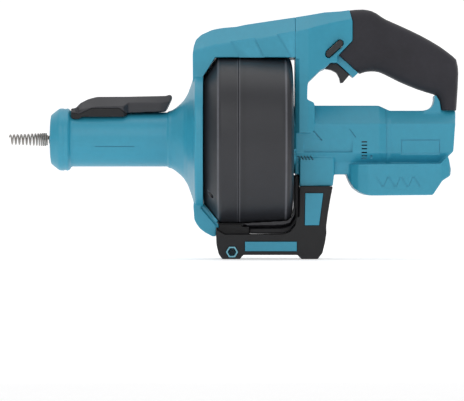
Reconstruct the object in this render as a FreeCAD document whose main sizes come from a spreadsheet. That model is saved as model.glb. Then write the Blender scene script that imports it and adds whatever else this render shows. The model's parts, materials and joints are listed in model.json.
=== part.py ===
import FreeCAD, Part
import Sketcher
import math
import os

# A hand-held powered drain snake on a stand. X runs along the drum axis, with the auger tip at
# the negative (front) end and the grip at the positive (rear) end. Y = 0 is the plane between
# the left (-Y) and right (+Y) halves. Z is up and the stand pads rest on Z = 0.
# Millimetres and degrees.
#
# Outlines are lists of corners: (x, z) for slabs, (x, radius from the drum axis) for turned
# pieces, (x, y) for plans. A corner value is a number, the alias of a size, or (alias, offset).

Vec = FreeCAD.Vector
Placement = FreeCAD.Placement
Rotation = FreeCAD.Rotation
ALONG_X = Vec(1, 0, 0)
ALONG_Y = Vec(0, 1, 0)
ALONG_Z = Vec(0, 0, 1)

doc = FreeCAD.newDocument("DrainSnake")
sheet = doc.addObject("Spreadsheet::Sheet", "Sizes")
dims = {}


def size(alias, value):
    """Put one named number in the sheet."""
    dims[alias] = float(value)
    row = len(dims)
    sheet.set("A%d" % row, alias)
    sheet.set("B%d" % row, repr(round(float(value), 5)))
    sheet.setAlias("B%d" % row, alias)
    return alias


for alias, value in (
    ("axis_height", 119.0),
    # Cable and auger
    ("cable_rad", 4.0), ("cable_core_rad", 1.4), ("cable_rear", -10.0), ("cable_front", -184.0),
    ("auger_wire_rad", 0.68), ("coil_rad", 72.0), ("coil_pitch", 8.7),
    # Housings; each "half" is a half width in Y
    ("nose_bore_rad", 24.0), ("seam_plane", 61.8), ("beam_half", 36.0), ("drum_gap_rad", 87.5),
    ("foot_half", 37.0), ("rail_half", 31.0), ("grip_half", 17.5),
    ("screw_rad", 1.6), ("screw_head_rad", 3.4), ("screw_head_len", 2.6),
    # Stand
    ("stand_half", 34.0), ("inlay_depth", 2.5), ("inlay_proud", 0.4),
    ("hex_outer_flats", 10.5), ("hex_inner_flats", 7.6), ("hex_x", -1.0), ("hex_z", 7.0),
    ("hex_overlength", 2.0), ("hex_web", 6.0),
    # Drum and gears
    ("neck_rad", 22.0), ("spindle_rad", 9.0), ("shaft_rad", 3.0),
    ("gear_module", 1.0), ("gear_backlash", 0.18), ("gear_front", 83.5), ("gear_width", 9.5),
    ("sun_teeth", 12), ("planet_teeth", 18), ("ring_teeth", 48),
    # Feed rollers and lever
    ("roller_rad", 7.0), ("roller_mid", -130.0), ("pin_rad", 2.0),
    ("lever_pivot_x", -155.0), ("lever_pivot_z", 147.5),
    # Controls and battery rails
    ("trigger_half", 7.5), ("selector_half", 27.0), ("rail_len", 54.0),
):
    size(alias, value)

AXIS = dims["axis_height"]
PLANET_DIST = dims["gear_module"] * (dims["sun_teeth"] + dims["planet_teeth"]) / 2


# ---------------------------------------------------------------- helpers
serial = [0]
pieces = []


def unique(stem):
    serial[0] += 1
    return "%s_%03d" % (stem, serial[0])


def number(value):
    """The number behind a plain value, an alias or an (alias, offset) pair."""
    if isinstance(value, tuple):
        return dims[value[0]] + value[1]
    return dims[value] if isinstance(value, str) else float(value)


def expression(value, stem):
    """A sheet expression for a value; a plain number gets a new alias built on the stem."""
    if isinstance(value, tuple):
        return "Sizes.%s + (%r)" % (value[0], round(value[1], 5))
    if isinstance(value, str):
        return "Sizes." + value
    return "Sizes." + size(unique(stem), value)


PLANES = {
    "XZ": Rotation(ALONG_X, 90),
    "YZ": Rotation(ALONG_Y, ALONG_Z, ALONG_X, "XYZ"),
    "XY": Rotation(),
}


def sketch(outline, plane="XZ", body=None, at=0.0):
    """A closed outline of straight edges, each corner held by sizes in the sheet.

    Without a body, the sketch stands at a distance along the normal of its plane.
    """
    name = unique("outline")
    if body is not None:
        drawn = body.newObject("Sketcher::SketchObject", name)
        role = plane + "_Plane"
        origin_plane = [o for o in body.Origin.OriginFeatures if o.Role == role][0]
        drawn.AttachmentSupport = [(origin_plane, "")]
        drawn.MapMode = "FlatFace"
    else:
        drawn = doc.addObject("Sketcher::SketchObject", name)
        normal = PLANES[plane].multVec(ALONG_Z)
        drawn.Placement = Placement(normal * at, PLANES[plane])
    corners = [Vec(number(u), number(v), 0) for u, v in outline]
    edges = [
        drawn.addGeometry(Part.LineSegment(corner, corners[(i + 1) % len(corners)]), False)
        for i, corner in enumerate(corners)
    ]
    for i, edge in enumerate(edges):
        following = edges[(i + 1) % len(edges)]
        drawn.addConstraint(Sketcher.Constraint("Coincident", edge, 2, following, 1))
    for i, (u, v) in enumerate(outline):
        for kind, value, tag, zero_axis in (("DistanceX", u, "u", -2), ("DistanceY", v, "v", -1)):
            distance = number(value)
            if abs(distance) < 1e-9:
                drawn.addConstraint(Sketcher.Constraint("PointOnObject", edges[i], 1, zero_axis))
                continue
            held = drawn.addConstraint(Sketcher.Constraint(kind, -1, 1, edges[i], 1, distance))
            stem = "%s_%s%02d" % (name, tag, i)
            drawn.setExpression("Constraints[%d]" % held, expression(value, stem))
    return drawn


def piece(obj, node):
    """Mark a document object as a finished piece."""
    obj.Label = node
    pieces.append((node, obj))


def shape_piece(node, shape, at=Vec(0, 0, 0)):
    """A finished piece from a computed shape."""
    feature = doc.addObject("Part::Feature", unique("shape"))
    feature.Shape = shape
    feature.Placement = Placement(at, Rotation())
    piece(feature, node)


def new_body():
    return doc.addObject("PartDesign::Body", unique("body"))


def body_feature(body, kind, outline, plane="XZ"):
    """A PartDesign feature on a new sketch; turned kinds go fully round the sketch's H axis."""
    profile = sketch(outline, plane, body)
    feature = body.newObject("PartDesign::" + kind, unique(kind.lower()))
    feature.Profile = profile
    if kind in ("Revolution", "Groove"):
        feature.ReferenceAxis = (profile, ["H_Axis"])
        feature.Angle = 360
    return feature


def mid_pad(body, outline, length):
    """Pad an XZ outline evenly to both sides; length is an expression."""
    pad = body_feature(body, "Pad", outline)
    pad.Midplane = True
    pad.setExpression("Length", length)


def turned_piece(node, outline):
    """A finished piece turned about the drum axis."""
    body = new_body()
    body_feature(body, "Revolution", outline)
    body.setExpression(".Placement.Base.z", "Sizes.axis_height")
    piece(body, node)


def padded_piece(node, outline, half):
    """A finished flat-sided piece centred on Y = 0."""
    body = new_body()
    mid_pad(body, outline, "2 * (" + expression(half, "half") + ")")
    piece(body, node)


def extrude(outline, ahead, behind, plane="XZ"):
    """An outline extruded ahead and behind along +Y (XZ plane) or +Z (XY plane)."""
    solid = doc.addObject("Part::Extrusion", unique("extrusion"))
    solid.Base = sketch(outline, plane)
    solid.DirMode = "Custom"
    solid.Dir = {"XZ": ALONG_Y, "XY": ALONG_Z}[plane]
    solid.Solid = True
    solid.setExpression("LengthFwd", expression(ahead, "len_fwd"))
    solid.setExpression("LengthRev", expression(behind, "len_rev"))
    return solid


def slab(outline, half):
    """An (x, z) outline extruded the same way to both sides of Y = 0."""
    return extrude(outline, half, half)


def turned(outline):
    """An (x, radius) outline turned about the drum axis."""
    profile = sketch(outline)
    profile.setExpression(".Placement.Base.z", "Sizes.axis_height")
    solid = doc.addObject("Part::Revolution", unique("turned"))
    solid.Source = profile
    solid.Axis = ALONG_X
    solid.setExpression(".Base.z", "Sizes.axis_height")
    solid.Angle = 360
    solid.Solid = True
    return solid


def ruled_loft(sections):
    solid = doc.addObject("Part::Loft", unique("loft"))
    solid.Sections = sections
    solid.Solid = True
    solid.Ruled = True
    return solid


def loft(stations):
    """A ruled solid through (x, half outline); the (y, z) half outlines are mirrored in Y."""
    sections = []
    for x, half in stations:
        whole = half + [(-y, z) for y, z in reversed(half)]
        sections.append(sketch(whole, "YZ", at=number(x)))
    return ruled_loft(sections)


def fuse(*parts):
    joined = doc.addObject("Part::MultiFuse", unique("fuse"))
    joined.Shapes = list(parts)
    joined.Refine = True
    return joined


def cut(base, *tools):
    remainder = doc.addObject("Part::Cut", unique("cut"))
    remainder.Base = base
    remainder.Tool = tools[0] if len(tools) == 1 else fuse(*tools)
    return remainder


def common(first, second):
    shared = doc.addObject("Part::MultiCommon", unique("common"))
    shared.Shapes = [first, second]
    return shared


AXIS_TURNS = {"X": Rotation(ALONG_Y, 90), "Y": Rotation(ALONG_X, -90)}


def cylinder(x, y, z, radius, length, axis="X"):
    """A cylinder that starts at (x, y, z) and runs along +X or +Y."""
    solid = doc.addObject("Part::Cylinder", unique("cylinder"))
    solid.setExpression("Radius", expression(radius, "cyl_rad"))
    solid.setExpression("Height", expression(length, "cyl_len"))
    solid.Placement = Placement(Vec(number(x), number(y), number(z)), AXIS_TURNS[axis])
    return solid


def box(x0, x1, y0, y1, z0, z1):
    solid = doc.addObject("Part::Box", unique("box"))
    for prop, low, high in (("Length", x0, x1), ("Width", y0, y1), ("Height", z0, z1)):
        solid.setExpression(prop, expression(high - low, "box_size"))
    solid.Placement = Placement(Vec(x0, y0, z0), Rotation())
    return solid


def hexagon(x, z, flats):
    radius = flats / 2 / math.cos(math.radians(30))
    angles = [math.radians(60 * k) for k in range(6)]
    return [(x + radius * math.cos(a), z + radius * math.sin(a)) for a in angles]


def sweep(path, radius):
    """A round wire along a smooth curve through the path's points."""
    curve = Part.BSplineCurve()
    curve.interpolate(path)
    tangent = curve.tangent(curve.FirstParameter)[0]
    profile = Part.Wire(Part.makeCircle(radius, path[0], tangent))
    pipe = Part.Wire(curve.toShape()).makePipeShell([profile], True, True)
    # The pipe may come back as a closed shell.
    return pipe if pipe.ShapeType == "Solid" else Part.makeSolid(pipe)


# ---------------------------------------------------------------- housing screws
# Screws run in Y and enter from the right. Each place is (x, z, y of the head's outer face).
NOSE_SCREW_Z = AXIS - 17.0
FRONT_SCREWS = [
    (-164.0, NOSE_SCREW_Z, 23.0), (-90.0, NOSE_SCREW_Z, 19.0), (-22.0, 210.5, 34.0),
    (38.0, 214.0, 34.0), (-26.5, 36.5, 26.0),
]
REAR_SCREWS = [
    (67.0, 190.0, 33.0), (80.0, 230.0, 24.0), (106.0, 232.0, 16.0), (74.0, 84.0, 27.0),
    (208.5, 86.5, 32.5), (120.5, 82.0, 27.0),
]
BORE_END = 8.0  # a bore ends this far inside the mirror image of the head's outer face
SCREW_GAP = 0.2  # left under the head and past the end of the shank


def screw_holes(places):
    """A counterbore and a shank bore for each screw."""
    holes = []
    for x, z, y in places:
        seat = y - dims["screw_head_len"] - SCREW_GAP
        holes.append(cylinder(x, seat, z, ("screw_head_rad", 0.4), 60, "Y"))
        holes.append(cylinder(x, BORE_END - y, z, ("screw_rad", 0.1), 2 * y, "Y"))
    return holes


def housing_screws(node, places):
    """One piece of separate screws, each a socketed head and a plain shank."""
    head_len = dims["screw_head_len"]
    socket_size = 1.5  # radius and depth
    screws = []
    for x, z, y in places:
        under_head = y - head_len
        end = BORE_END + SCREW_GAP - y
        head = Part.makeCylinder(
            dims["screw_head_rad"], head_len, Vec(x, under_head, z), ALONG_Y)
        socket = Part.makeCylinder(
            socket_size, socket_size, Vec(x, y - socket_size, z), ALONG_Y)
        shank = Part.makeCylinder(
            dims["screw_rad"], under_head - end, Vec(x, end, z), ALONG_Y)
        screws.append(head.cut(socket).fuse(shank).removeSplitter().Solids[0])
    shape_piece(node, Part.makeCompound(screws))


def split_halves(whole, stem, x0, x1, z0, z1, reach):
    """Split a solid on Y = 0 into a left and a right piece."""
    piece(common(whole, box(x0, x1, -reach, 0, z0, z1)), stem + "_left")
    piece(common(whole, box(x0, x1, 0, reach, z0, z1)), stem + "_right")


# ---------------------------------------------------------------- front housing
nose_outer = turned([
    (-182.6, 0), (-182.6, 18.0), (-181.8, 24.4), (-173.4, 31.0), (-169.2, 31.3), (-168.6, 30.6),
    (-166.4, 30.6), (-165.8, 31.3), (-164.4, 31.2), (-162.1, 29.0), (-162.0, 27.2),
    (-64.5, 27.2), (-64.5, 28.6), (-61.6, 28.9), (-57, 31.8), (-53, 35.2), (-49, 39.2),
    (-45, 46.0), (-41.6, 55.5), (-39.6, 62), (-38.4, 67.2), (-38.0, 70.4), (-36.9, 71.6),
    (-29.5, 71.6), (-29.5, 0),
])
nose_inner = turned([
    (-30.0, 0), (-30.0, 67.0), (-34.0, 65.5), (-37.5, 56.5), (-41.5, 46.5), (-45.5, 38.5),
    (-45.5, 28.05), (-52.0, 28.05), (-52.0, "nose_bore_rad"), (-178.2, "nose_bore_rad"),
    (-178.2, 9.0), (-184.0, 9.0), (-184.0, 0),
])
# The beam runs over the drum from the nose to the seam with the rear housing.
beam_loft = loft([
    (-40.0, [(36, 150), (36, 206.0), (21, 219.0)]),
    (-19.5, [(36, 150), (36, 211.6), (20.5, 228.2)]),
    (28.0, [(36, 150), (36, 218.3), (20, 235.2)]),
    ("seam_plane", [(36, 150), (36, 224.5), (20, 240.3)]),
])
beam_side = slab([
    (-31.6, 160), (-39.8, 176), (-40.0, 203), (-39.0, 211), (-36.9, 217.6), (-33, 221.5),
    (-29, 224.5), (-21, 227.5), (-13, 229.5), (3, 230.7), (11, 232.5), (23, 234.5),
    (35, 236.4), (47, 238), ("seam_plane", 240.2), ("seam_plane", 199.6), (-17.6, 199.6),
    (-30.5, 179.1), (-31.6, 179.1),
], "beam_half")
beam = common(beam_side, beam_loft)
lower_arm = slab([
    (-31.6, 72), (-31.6, 50), (-17.0, 33), (-17.0, 22.4), (-20.5, 22.4), (-28, 26.4),
    (-33, 30.4), (-36, 34.4), (-38.4, 39), (-39.4, 52), (-38.4, 64), (-34, 72),
], 28.0)
arm_inner = slab(
    [(-33.0, 72), (-26.0, 72), (-14.3, 54), (-14.3, 31), (-17.5, 31), (-33.0, 48)], 24.0)
drum_room = turned([
    (-31.4, 0), (-31.4, 66), (-28.5, 70.5), (-15.2, 87.0), (-12, "drum_gap_rad"),
    (6, "drum_gap_rad"), (56, 84.2), (66, 84.2), (66, 0),
])
lever_slot = box(-148, -108, -8.2, 8.2, AXIS + 10, AXIS + 40)
lever_lug = slab([
    (-158.8, AXIS + 24), (-158.8, 149.4), (-157.0, 151.2), (-152.5, 151.2), (-149.5, 147.4),
    (-149.5, AXIS + 24),
], 7.0)
lug_hole = cylinder("lever_pivot_x", -12, "lever_pivot_z", "pin_rad", 24, "Y")
nose_bosses = fuse(*[
    cylinder(x, -30.0, NOSE_SCREW_Z, 4.6, 60.0, "Y") for x, z, y in FRONT_SCREWS[:2]
])
front_outer = cut(
    fuse(cut(fuse(nose_outer, beam, lower_arm, arm_inner), drum_room), lever_lug),
    cut(nose_inner, nose_bosses),
)
front_housing = cut(front_outer, lever_slot, lug_hole)
split_halves(
    cut(front_housing, *screw_holes(FRONT_SCREWS)), "front_housing", -190, 70, 0, 260, 80.0)
housing_screws("front_housing_screws", FRONT_SCREWS)

# ---------------------------------------------------------------- rear housing
upper_side = slab([
    ("seam_plane", 125), ("seam_plane", 240.2), (75, 242.4), (91, 245.4), (107, 246.6),
    (116.2, 247.9), (117.6, 241.7), (119, 236), (119, 217.1), (105.3, 203.1), (103.9, 203.0),
    (103.9, 195.0), (96.9, 195), (91.3, 189.4), (87, 187.5), (74.6, 175.3), (73.9, 171.5),
    (73.5, 158.1), (80, 155.3), (81.1, 151.8), (81.1, 125),
], 38.0)
roof = loft([
    ("seam_plane", [(36, 110), (36, 224.5), (20, 240.3)]),
    (75.0, [(34, 110), (34, 228.0), (18.5, 243.0)]),
    (95.0, [(25, 110), (25, 233.5), (13, 247.0)]),
    (119.0, [(18.5, 110), (18.5, 238.5), (9, 249.0)]),
])
upper = common(upper_side, roof)
guard_bar = slab([
    (103.5, 204.0), (105.3, 203.1), (124.9, 185.2), (119.7, 180.3), (116.6, 183.4),
    (103.5, 195.4),
], 12.0)
BARREL_WIDE = [
    (23, AXIS - 35), (24, AXIS - 23.5), (32, AXIS - 13.5), (31.3, AXIS + 14.5), (14, AXIS + 33.6),
]
BARREL_SLIM = [
    (21, AXIS - 27), (22, AXIS - 23.5), (28.5, AXIS - 13.5), (27.5, AXIS + 15.0),
    (12, AXIS + 28.6),
]
barrel_loft = loft([
    ("seam_plane", BARREL_WIDE), (145.0, BARREL_WIDE), (156.0, BARREL_SLIM),
    (221.8, BARREL_SLIM),
])
barrel_side = slab([
    ("seam_plane", 80), ("seam_plane", 160), (218, 160), (221.8, 146.5), (220.2, 128.5),
    (218.7, 106.8), (213.4, 101.5), (213.4, 92), (170, 92), (110, 80),
], 40.0)
barrel = common(barrel_loft, barrel_side)
lower_block = slab([(66.2, 72.2), (66.2, 100), (100.3, 100), (100.3, 83.8), (98.9, 72.2)], 30.0)
foot_side = slab([
    (113, 83.8), (113.4, 92), (116, 94.2), (205, 94.6), (211.5, 101.2), (213.4, 101.2),
    (216.1, 89.2), (215.5, 82.7), (207.2, 77.5), (197.8, 63.4), (138, 62.9), (131.5, 63.8),
    (125.5, 66.2), (119.8, 70.4), (116.4, 75.2), (114.2, 80.0),
], "foot_half")
foot_plan = extrude([
    (113, -18), (113, 18), (117, 27), (124, 33), (134, 36.2), (146, "foot_half"),
    (206, "foot_half"), (214, 34), (217, 28), (217, -28), (214, -34),
    (206, -dims["foot_half"]), (146, -dims["foot_half"]), (134, -36.2), (124, -33), (117, -27),
], 130.0, 0.0, "XY")
foot = common(foot_side, foot_plan)
# A strip that joins the top of the barrel to the rear post of the grip.
post_strip = slab([
    (190.0, 140), (190.0, 147.8), (194.5, 148.9), (197.8, 151.2), (199.6, 154.4),
    (200.4, 158.0), (200.4, 163.0), (202.6, 162.3), (205.9, 156.8), (207.5, 147.6),
    (207.5, 140),
], 15.0)
grip_core = slab([
    (112.0, 240), (112.0, 214), (109.8, 203.2), (126.6, 188.6), (132, 189.6), (140.4, 190.4),
    (149, 188.8), (158.4, 184.0), (168.6, 178.8), (185.2, 172.1), (201.8, 166.8),
    (205.3, 165.0), (208.9, 158), (210.4, 140), (219.6, 140), (222.0, 185.2), (221.4, 191),
    (220.2, 197.3), (205.6, 208.8), (185.9, 220.2), (166.0, 229.6), (149.2, 237.0),
    (141.9, 242.2), (137, 244.7), (129.6, 245.9), (119.5, 245.0), (116.0, 240),
], ("grip_half", -6.0))
core_room = slab([
    (121.5, 236), (121.5, 214), (113.6, 204.0), (127.2, 191.9), (132, 192.6), (140.4, 193.4),
    (150, 191.8), (159.4, 187.0), (169.6, 181.8), (186.2, 175.1), (203.0, 169.8),
    (207.9, 167.0), (211.6, 159), (213.2, 150), (217.4, 150), (219.0, 185.0), (218.6, 190),
    (217.6, 195.3), (204.0, 206.2), (184.5, 217.5), (164.6, 226.9), (147.8, 234.3),
    (140.5, 239.4), (136, 241.7), (129.0, 242.8), (122.0, 242.0),
], ("grip_half", -8.4))
rear_solid = fuse(upper, guard_bar, barrel, lower_block, foot, post_strip, grip_core)

barrel_room = turned([
    (60.0, 0), (60.0, 17.05), (74.5, 17.05), (74.5, 29.3), (146.0, 29.3), (156.0, 24.6),
    (207.0, 24.6), (213.0, 18.0), (213.0, 0),
])
trigger_room = slab([
    (90.3, 189.0), (96.4, 195.9), (99.8, 199.8), (107.8, 200.1), (121.3, 188.5),
    (117.6, 183.2), (110.2, 174.0), (104.0, 174.0), (98.0, 182.0),
], ("trigger_half", 0.6))
stem_room = slab([(101.0, 196.4), (115.5, 213.3), (125.2, 205.0), (110.7, 188.0)], 5.5)
selector_room = slab([
    (91.6, 203.8), (91.7, 201.5), (93.7, 199.7), (96.1, 199.8), (108.5, 211.0),
    (109.8, 213.3), (109.7, 216.0), (107.7, 217.8), (104.9, 217.7), (92.3, 206.1),
], 40.0)
foot_room = box(126, 203, -32, 32, 80.5, 92.0)
foot_link = box(140, 200, -14, 14, 88, 102)
rail_room = slab([(140, 60), (140, 77.5), (222, 77.5), (222, 60)], "rail_half")
upper_room = slab([
    (64.6, 205), (64.6, 228), (86, 236), (100, 238), (112, 237), (112, 222.5), (103, 221.5),
    (88, 206.5),
], 13.0)
# A shallow rectangular recess on each side of the barrel.
side_recesses = cut(
    slab([(167, 103.7), (167, 118.3), (205, 118.3), (205, 103.7)], 28.9),
    box(160, 210, -27.7, 27.7, 100, 122),
)
side_slots = fuse(*[
    box(127.5, 132.8, y, y + 20, z - 0.6, z + 0.6)
    for y in (-40, 20) for z in (116.1, 112.8, 109.3, 105.6)
])
rear_housing = cut(
    rear_solid, fuse(barrel_room, foot_room, foot_link), core_room, trigger_room, stem_room,
    selector_room, rail_room, upper_room, side_recesses, side_slots,
)
split_halves(
    cut(rear_housing, *screw_holes(REAR_SCREWS)), "rear_housing", 55, 230, 55, 255, 45.0)
housing_screws("rear_housing_screws", REAR_SCREWS)

# ---------------------------------------------------------------- grip overmould
GRIP = [
    (116.2, 247.9), (117.6, 241.7), (119, 236), (119, 217.1), (105.3, 203.1), (126.4, 184.4),
    (131.9, 186.3), (140.2, 187.1), (147.5, 185.8), (157, 181.1), (167.4, 175.9),
    (184.2, 169.1), (200.9, 163.8), (203, 162.8), (206.1, 157), (207.7, 147.7),
    (222.9, 147.7), (225, 185.3), (224.6, 191.6), (222.9, 198.9), (207.2, 211.4),
    (187.3, 222.9), (167.4, 232.3), (150.7, 239.7), (143.4, 244.9), (138, 247.5),
    (129.8, 248.9),
]
GRIP_FLAT_HALF = 10.0  # half width over which the grip keeps its full outline
GRIP_DRAW = 5.0  # how far the free edges come in at the sides


def drawn_in(outline, amounts):
    """Move each edge of an outline inward by its own amount and meet the moved edges again."""
    lines = []
    for i, (x0, z0) in enumerate(outline):
        x1, z1 = outline[(i + 1) % len(outline)]
        length = math.hypot(x1 - x0, z1 - z0)
        dx, dz = (x1 - x0) / length, (z1 - z0) / length
        lines.append((x0 - dz * amounts[i], z0 + dx * amounts[i], dx, dz))
    moved = []
    for i, (bx, bz, bdx, bdz) in enumerate(lines):
        ax, az, adx, adz = lines[i - 1]
        along = ((bx - ax) * bdz - (bz - az) * bdx) / (adx * bdz - adz * bdx)
        moved.append((round(ax + adx * along, 4), round(az + adz * along, 4)))
    return moved


# The edges that meet the rear housing stay where they are.
fixed_edges = (0, 1, 2, 3, 4, GRIP.index((207.7, 147.7)))
grip_small = drawn_in(GRIP, [0.0 if i in fixed_edges else GRIP_DRAW for i in range(len(GRIP))])
grip_block = ruled_loft([
    sketch(outline, "XZ", at=offset)
    for offset, outline in (
        (-dims["grip_half"], grip_small), (-GRIP_FLAT_HALF, GRIP),
        (GRIP_FLAT_HALF, GRIP), (dims["grip_half"], grip_small),
    )
])
grip_whole = cut(grip_block, grip_core, guard_bar, upper, stem_room, trigger_room)
split_halves(grip_whole, "grip_overmould", 100, 230, 140, 255, 40)

# ---------------------------------------------------------------- stand
stand_block = slab([
    (-16.8, 22.4), (-16.4, 14), (-14.2, 4.8), (-10.5, 0), (7, 0), (10, 4.0), (64.3, 4.0),
    (67.7, 0), (84, 0), (88.7, 6.2), (91.2, 16.5), (92.6, 25.5), (92.4, 32.5), (94, 45),
    (96.6, 60.5), (98.9, 72), (63.2, 72), (63.2, 41), (61.5, 33), (56.5, 27), (50, 24.6),
    (-8, 24.2), (-12, 26.5), (-16.8, 29.5),
], "stand_half")
saddle = cut(
    slab([
        (-16.6, 20.0), (-16.6, 30.8), (-14.1, 30.8), (-14.1, 36.0), (15.9, 36.0), (15.9, 20.0),
    ], 22.0),
    turned([(-20, 0), (-20, 87.5), (8.7, 87.5), (8.7, 89.5), (20, 89.5), (20, 0)]),
)
base_room = box(13, 60, -28, 28, -1, 20)
post_room = slab([(68.5, 36), (86.5, 36), (92.5, 74), (68.5, 74)], 28.0)
hex_hole = slab(hexagon(dims["hex_x"], dims["hex_z"], dims["hex_outer_flats"] + 0.2), 50.0)

INLAY_BASE = [(11.9, 7.8), (11.9, 17.2), (63.1, 17.2), (63.1, 7.8)]
INLAY_POST = [(71.5, 65.2), (89.3, 65.2), (85.2, 33.5), (71.1, 33.5)]
INLAY_GAP = 0.1


def grown(outline, distance):
    """Move each corner away from the middle by a distance in x and in z."""
    mid_x = sum(x for x, z in outline) / len(outline)
    mid_z = sum(z for x, z in outline) / len(outline)
    return [
        (x + math.copysign(distance, x - mid_x), z + math.copysign(distance, z - mid_z))
        for x, z in outline
    ]


pocket_floor = dims["stand_half"] - dims["inlay_depth"]
POCKET_REACH = 40.0  # y beyond the stand's side
pockets = [
    extrude(grown(outline, INLAY_GAP), ahead, behind)
    for outline in (INLAY_BASE, INLAY_POST)
    for ahead, behind in ((-pocket_floor, POCKET_REACH), (POCKET_REACH, -pocket_floor))
]
piece(
    cut(fuse(cut(stand_block, drum_room), saddle), base_room, post_room, hex_hole, *pockets),
    "stand_bracket",
)


def inlay(node, outline, side):
    body = new_body()
    mid_pad(body, outline, "Sizes.inlay_depth + Sizes.inlay_proud")
    middle = "Sizes.stand_half + (Sizes.inlay_proud - Sizes.inlay_depth) / 2"
    body.setExpression(".Placement.Base.y", "%d * (%s)" % (side, middle))
    piece(body, node)


for stem, outline in (("inlay_base", INLAY_BASE), ("inlay_post", INLAY_POST)):
    inlay(stem + "_left", outline, -1)
    inlay(stem + "_right", outline, 1)


def hex_key_sleeve():
    """A hexagonal tube across the stand, closed by a web at its middle."""
    body = new_body()
    outer = hexagon(0, 0, dims["hex_outer_flats"])
    mid_pad(body, outer, "2 * Sizes.stand_half + Sizes.hex_overlength")
    bore = body_feature(body, "Pocket", hexagon(0, 0, dims["hex_inner_flats"]))
    bore.Type = "ThroughAll"
    bore.Midplane = True
    mid_pad(body, outer, "Sizes.hex_web")
    body.setExpression(".Placement.Base.x", "Sizes.hex_x")
    body.setExpression(".Placement.Base.z", "Sizes.hex_z")
    piece(body, "hex_key_sleeve")


hex_key_sleeve()

lip_ring = turned([
    (9, 86.9), (53.6, 84.4), (58.9, 80.2), (60.8, 70.0), (61.6, 70.0), (61.6, 78.5),
    (56.6, 86.6), (49, 88.6), (14.9, 89.2),
])
lip = common(lip_ring, box(0, 62, -24, 24, 20, 60))
lip_rib = slab([
    (16, 24.9), (16, 30.6), (50, 30.9), (55.0, 32.5), (58.6, 37.5), (61.3, 44.0),
    (61.3, 83.8), (65.9, 83.8), (65.9, 35.9), (61.9, 35.75), (61.2, 33.2), (56.3, 27.25),
    (50.0, 24.9),
], 10.0)
piece(fuse(lip, lip_rib), "drum_guard_lip")

# ---------------------------------------------------------------- drum
BOLT_CIRCLE = 74.6
bolt_angles = [math.radians(108 + 120 * k) for k in range(3)]
bolt_places = [
    (BOLT_CIRCLE * math.cos(a), AXIS + BOLT_CIRCLE * math.sin(a)) for a in bolt_angles
]


def at_bolts(x, radius, length):
    """A cylinder along X at each drum bolt."""
    return [cylinder(x, y, z, radius, length) for y, z in bolt_places]


front_shell = turned([
    (-50.5, "neck_rad"), (-29.8, "neck_rad"), (-29.8, 62.0), (-28.6, 66.0), (-26.6, 68.4),
    (-14.4, 84.2), (-12.0, 85.3), (5.5, 85.3), (5.5, 82.4), (-11.4, 82.4), (-24.4, 65.6),
    (-26.8, 62.0), (-26.8, ("neck_rad", -3.0)), (-50.5, ("neck_rad", -3.0)),
])
boss_limit = turned([
    (-28.5, 0), (-28.5, 66.0), (-26.6, 68.3), (-14.4, 84.1), (-12.2, 84.6), (-12.2, 0),
])
shell_bosses = common(fuse(*at_bolts(-28, 4.6, 15.8)), boss_limit)
shell_bores = at_bolts(-40, 2.7, 23.0) + at_bolts(-30, 1.6, 30.0)
piece(cut(fuse(front_shell, shell_bosses), *shell_bores), "drum_front_shell")

turned_piece("drum_rear_shell", [
    (5.6, 85.3), (8.0, 85.2), (50, 83.4), (55.0, 82.4), (57.6, 79.6), (59.2, 73.6),
    (60.0, 64.0), (60.0, 14.0), (57.0, 14.0), (57.0, 66.0), (56.6, 72.2), (55.0, 76.6),
    (52.6, 79.4), (49.6, 80.4), (8.0, 82.2), (5.6, 82.2),
])
SPINDLE_REAR = 82.6
turned_piece("drum_spindle", [
    (48.0, 8.0), (48.0, 16.0), (52.0, 26.0), (56.9, 26.0), (56.9, 13.9), (61.5, 13.9),
    (61.5, "spindle_rad"), (79.0, "spindle_rad"), (79.0, 20.5), (SPINDLE_REAR, 20.5),
    (SPINDLE_REAR, 7.6), (76.0, 7.6), (76.0, 5.0), (60.0, 5.0), (60.0, 8.0),
])

PLANET_PIN_RAD = 2.0
planet_angles = [math.radians(120 * k) for k in range(3)]
planet_places = [
    (PLANET_DIST * math.cos(a), AXIS + PLANET_DIST * math.sin(a)) for a in planet_angles
]
shape_piece("planet_pins", Part.makeCompound([
    Part.makeCylinder(PLANET_PIN_RAD, 11.6, Vec(SPINDLE_REAR, y, z), ALONG_X)
    for y, z in planet_places
]))


def drum_screw(y, z):
    """A drum screw, with its socketed head to the front."""
    front, under_head = -19.2, -17.0
    head = Part.makeCylinder(2.5, under_head - front, Vec(front, y, z), ALONG_X)
    socket = Part.makeCylinder(1.2, 1.2, Vec(front, y, z), ALONG_X)
    shank = Part.makeCylinder(1.5, 7.4, Vec(under_head, y, z), ALONG_X)
    return head.cut(socket).fuse(shank).removeSplitter().Solids[0]


shape_piece("drum_screws", Part.makeCompound([drum_screw(y, z) for y, z in bolt_places]))

funnel = turned([
    (-50.0, 5.2), (-50.0, ("neck_rad", -3.05)), (-44.0, ("neck_rad", -3.05)), (-44.0, 9.0),
    (-17.0, 9.0), (-12.1, 14.0), (-12.1, 79.0), (-9.5, 79.0), (-9.5, 10.5), (-14.5, 5.2),
])
piece(cut(funnel, *at_bolts(-20, 1.6, 20.0)), "cable_funnel")


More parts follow.
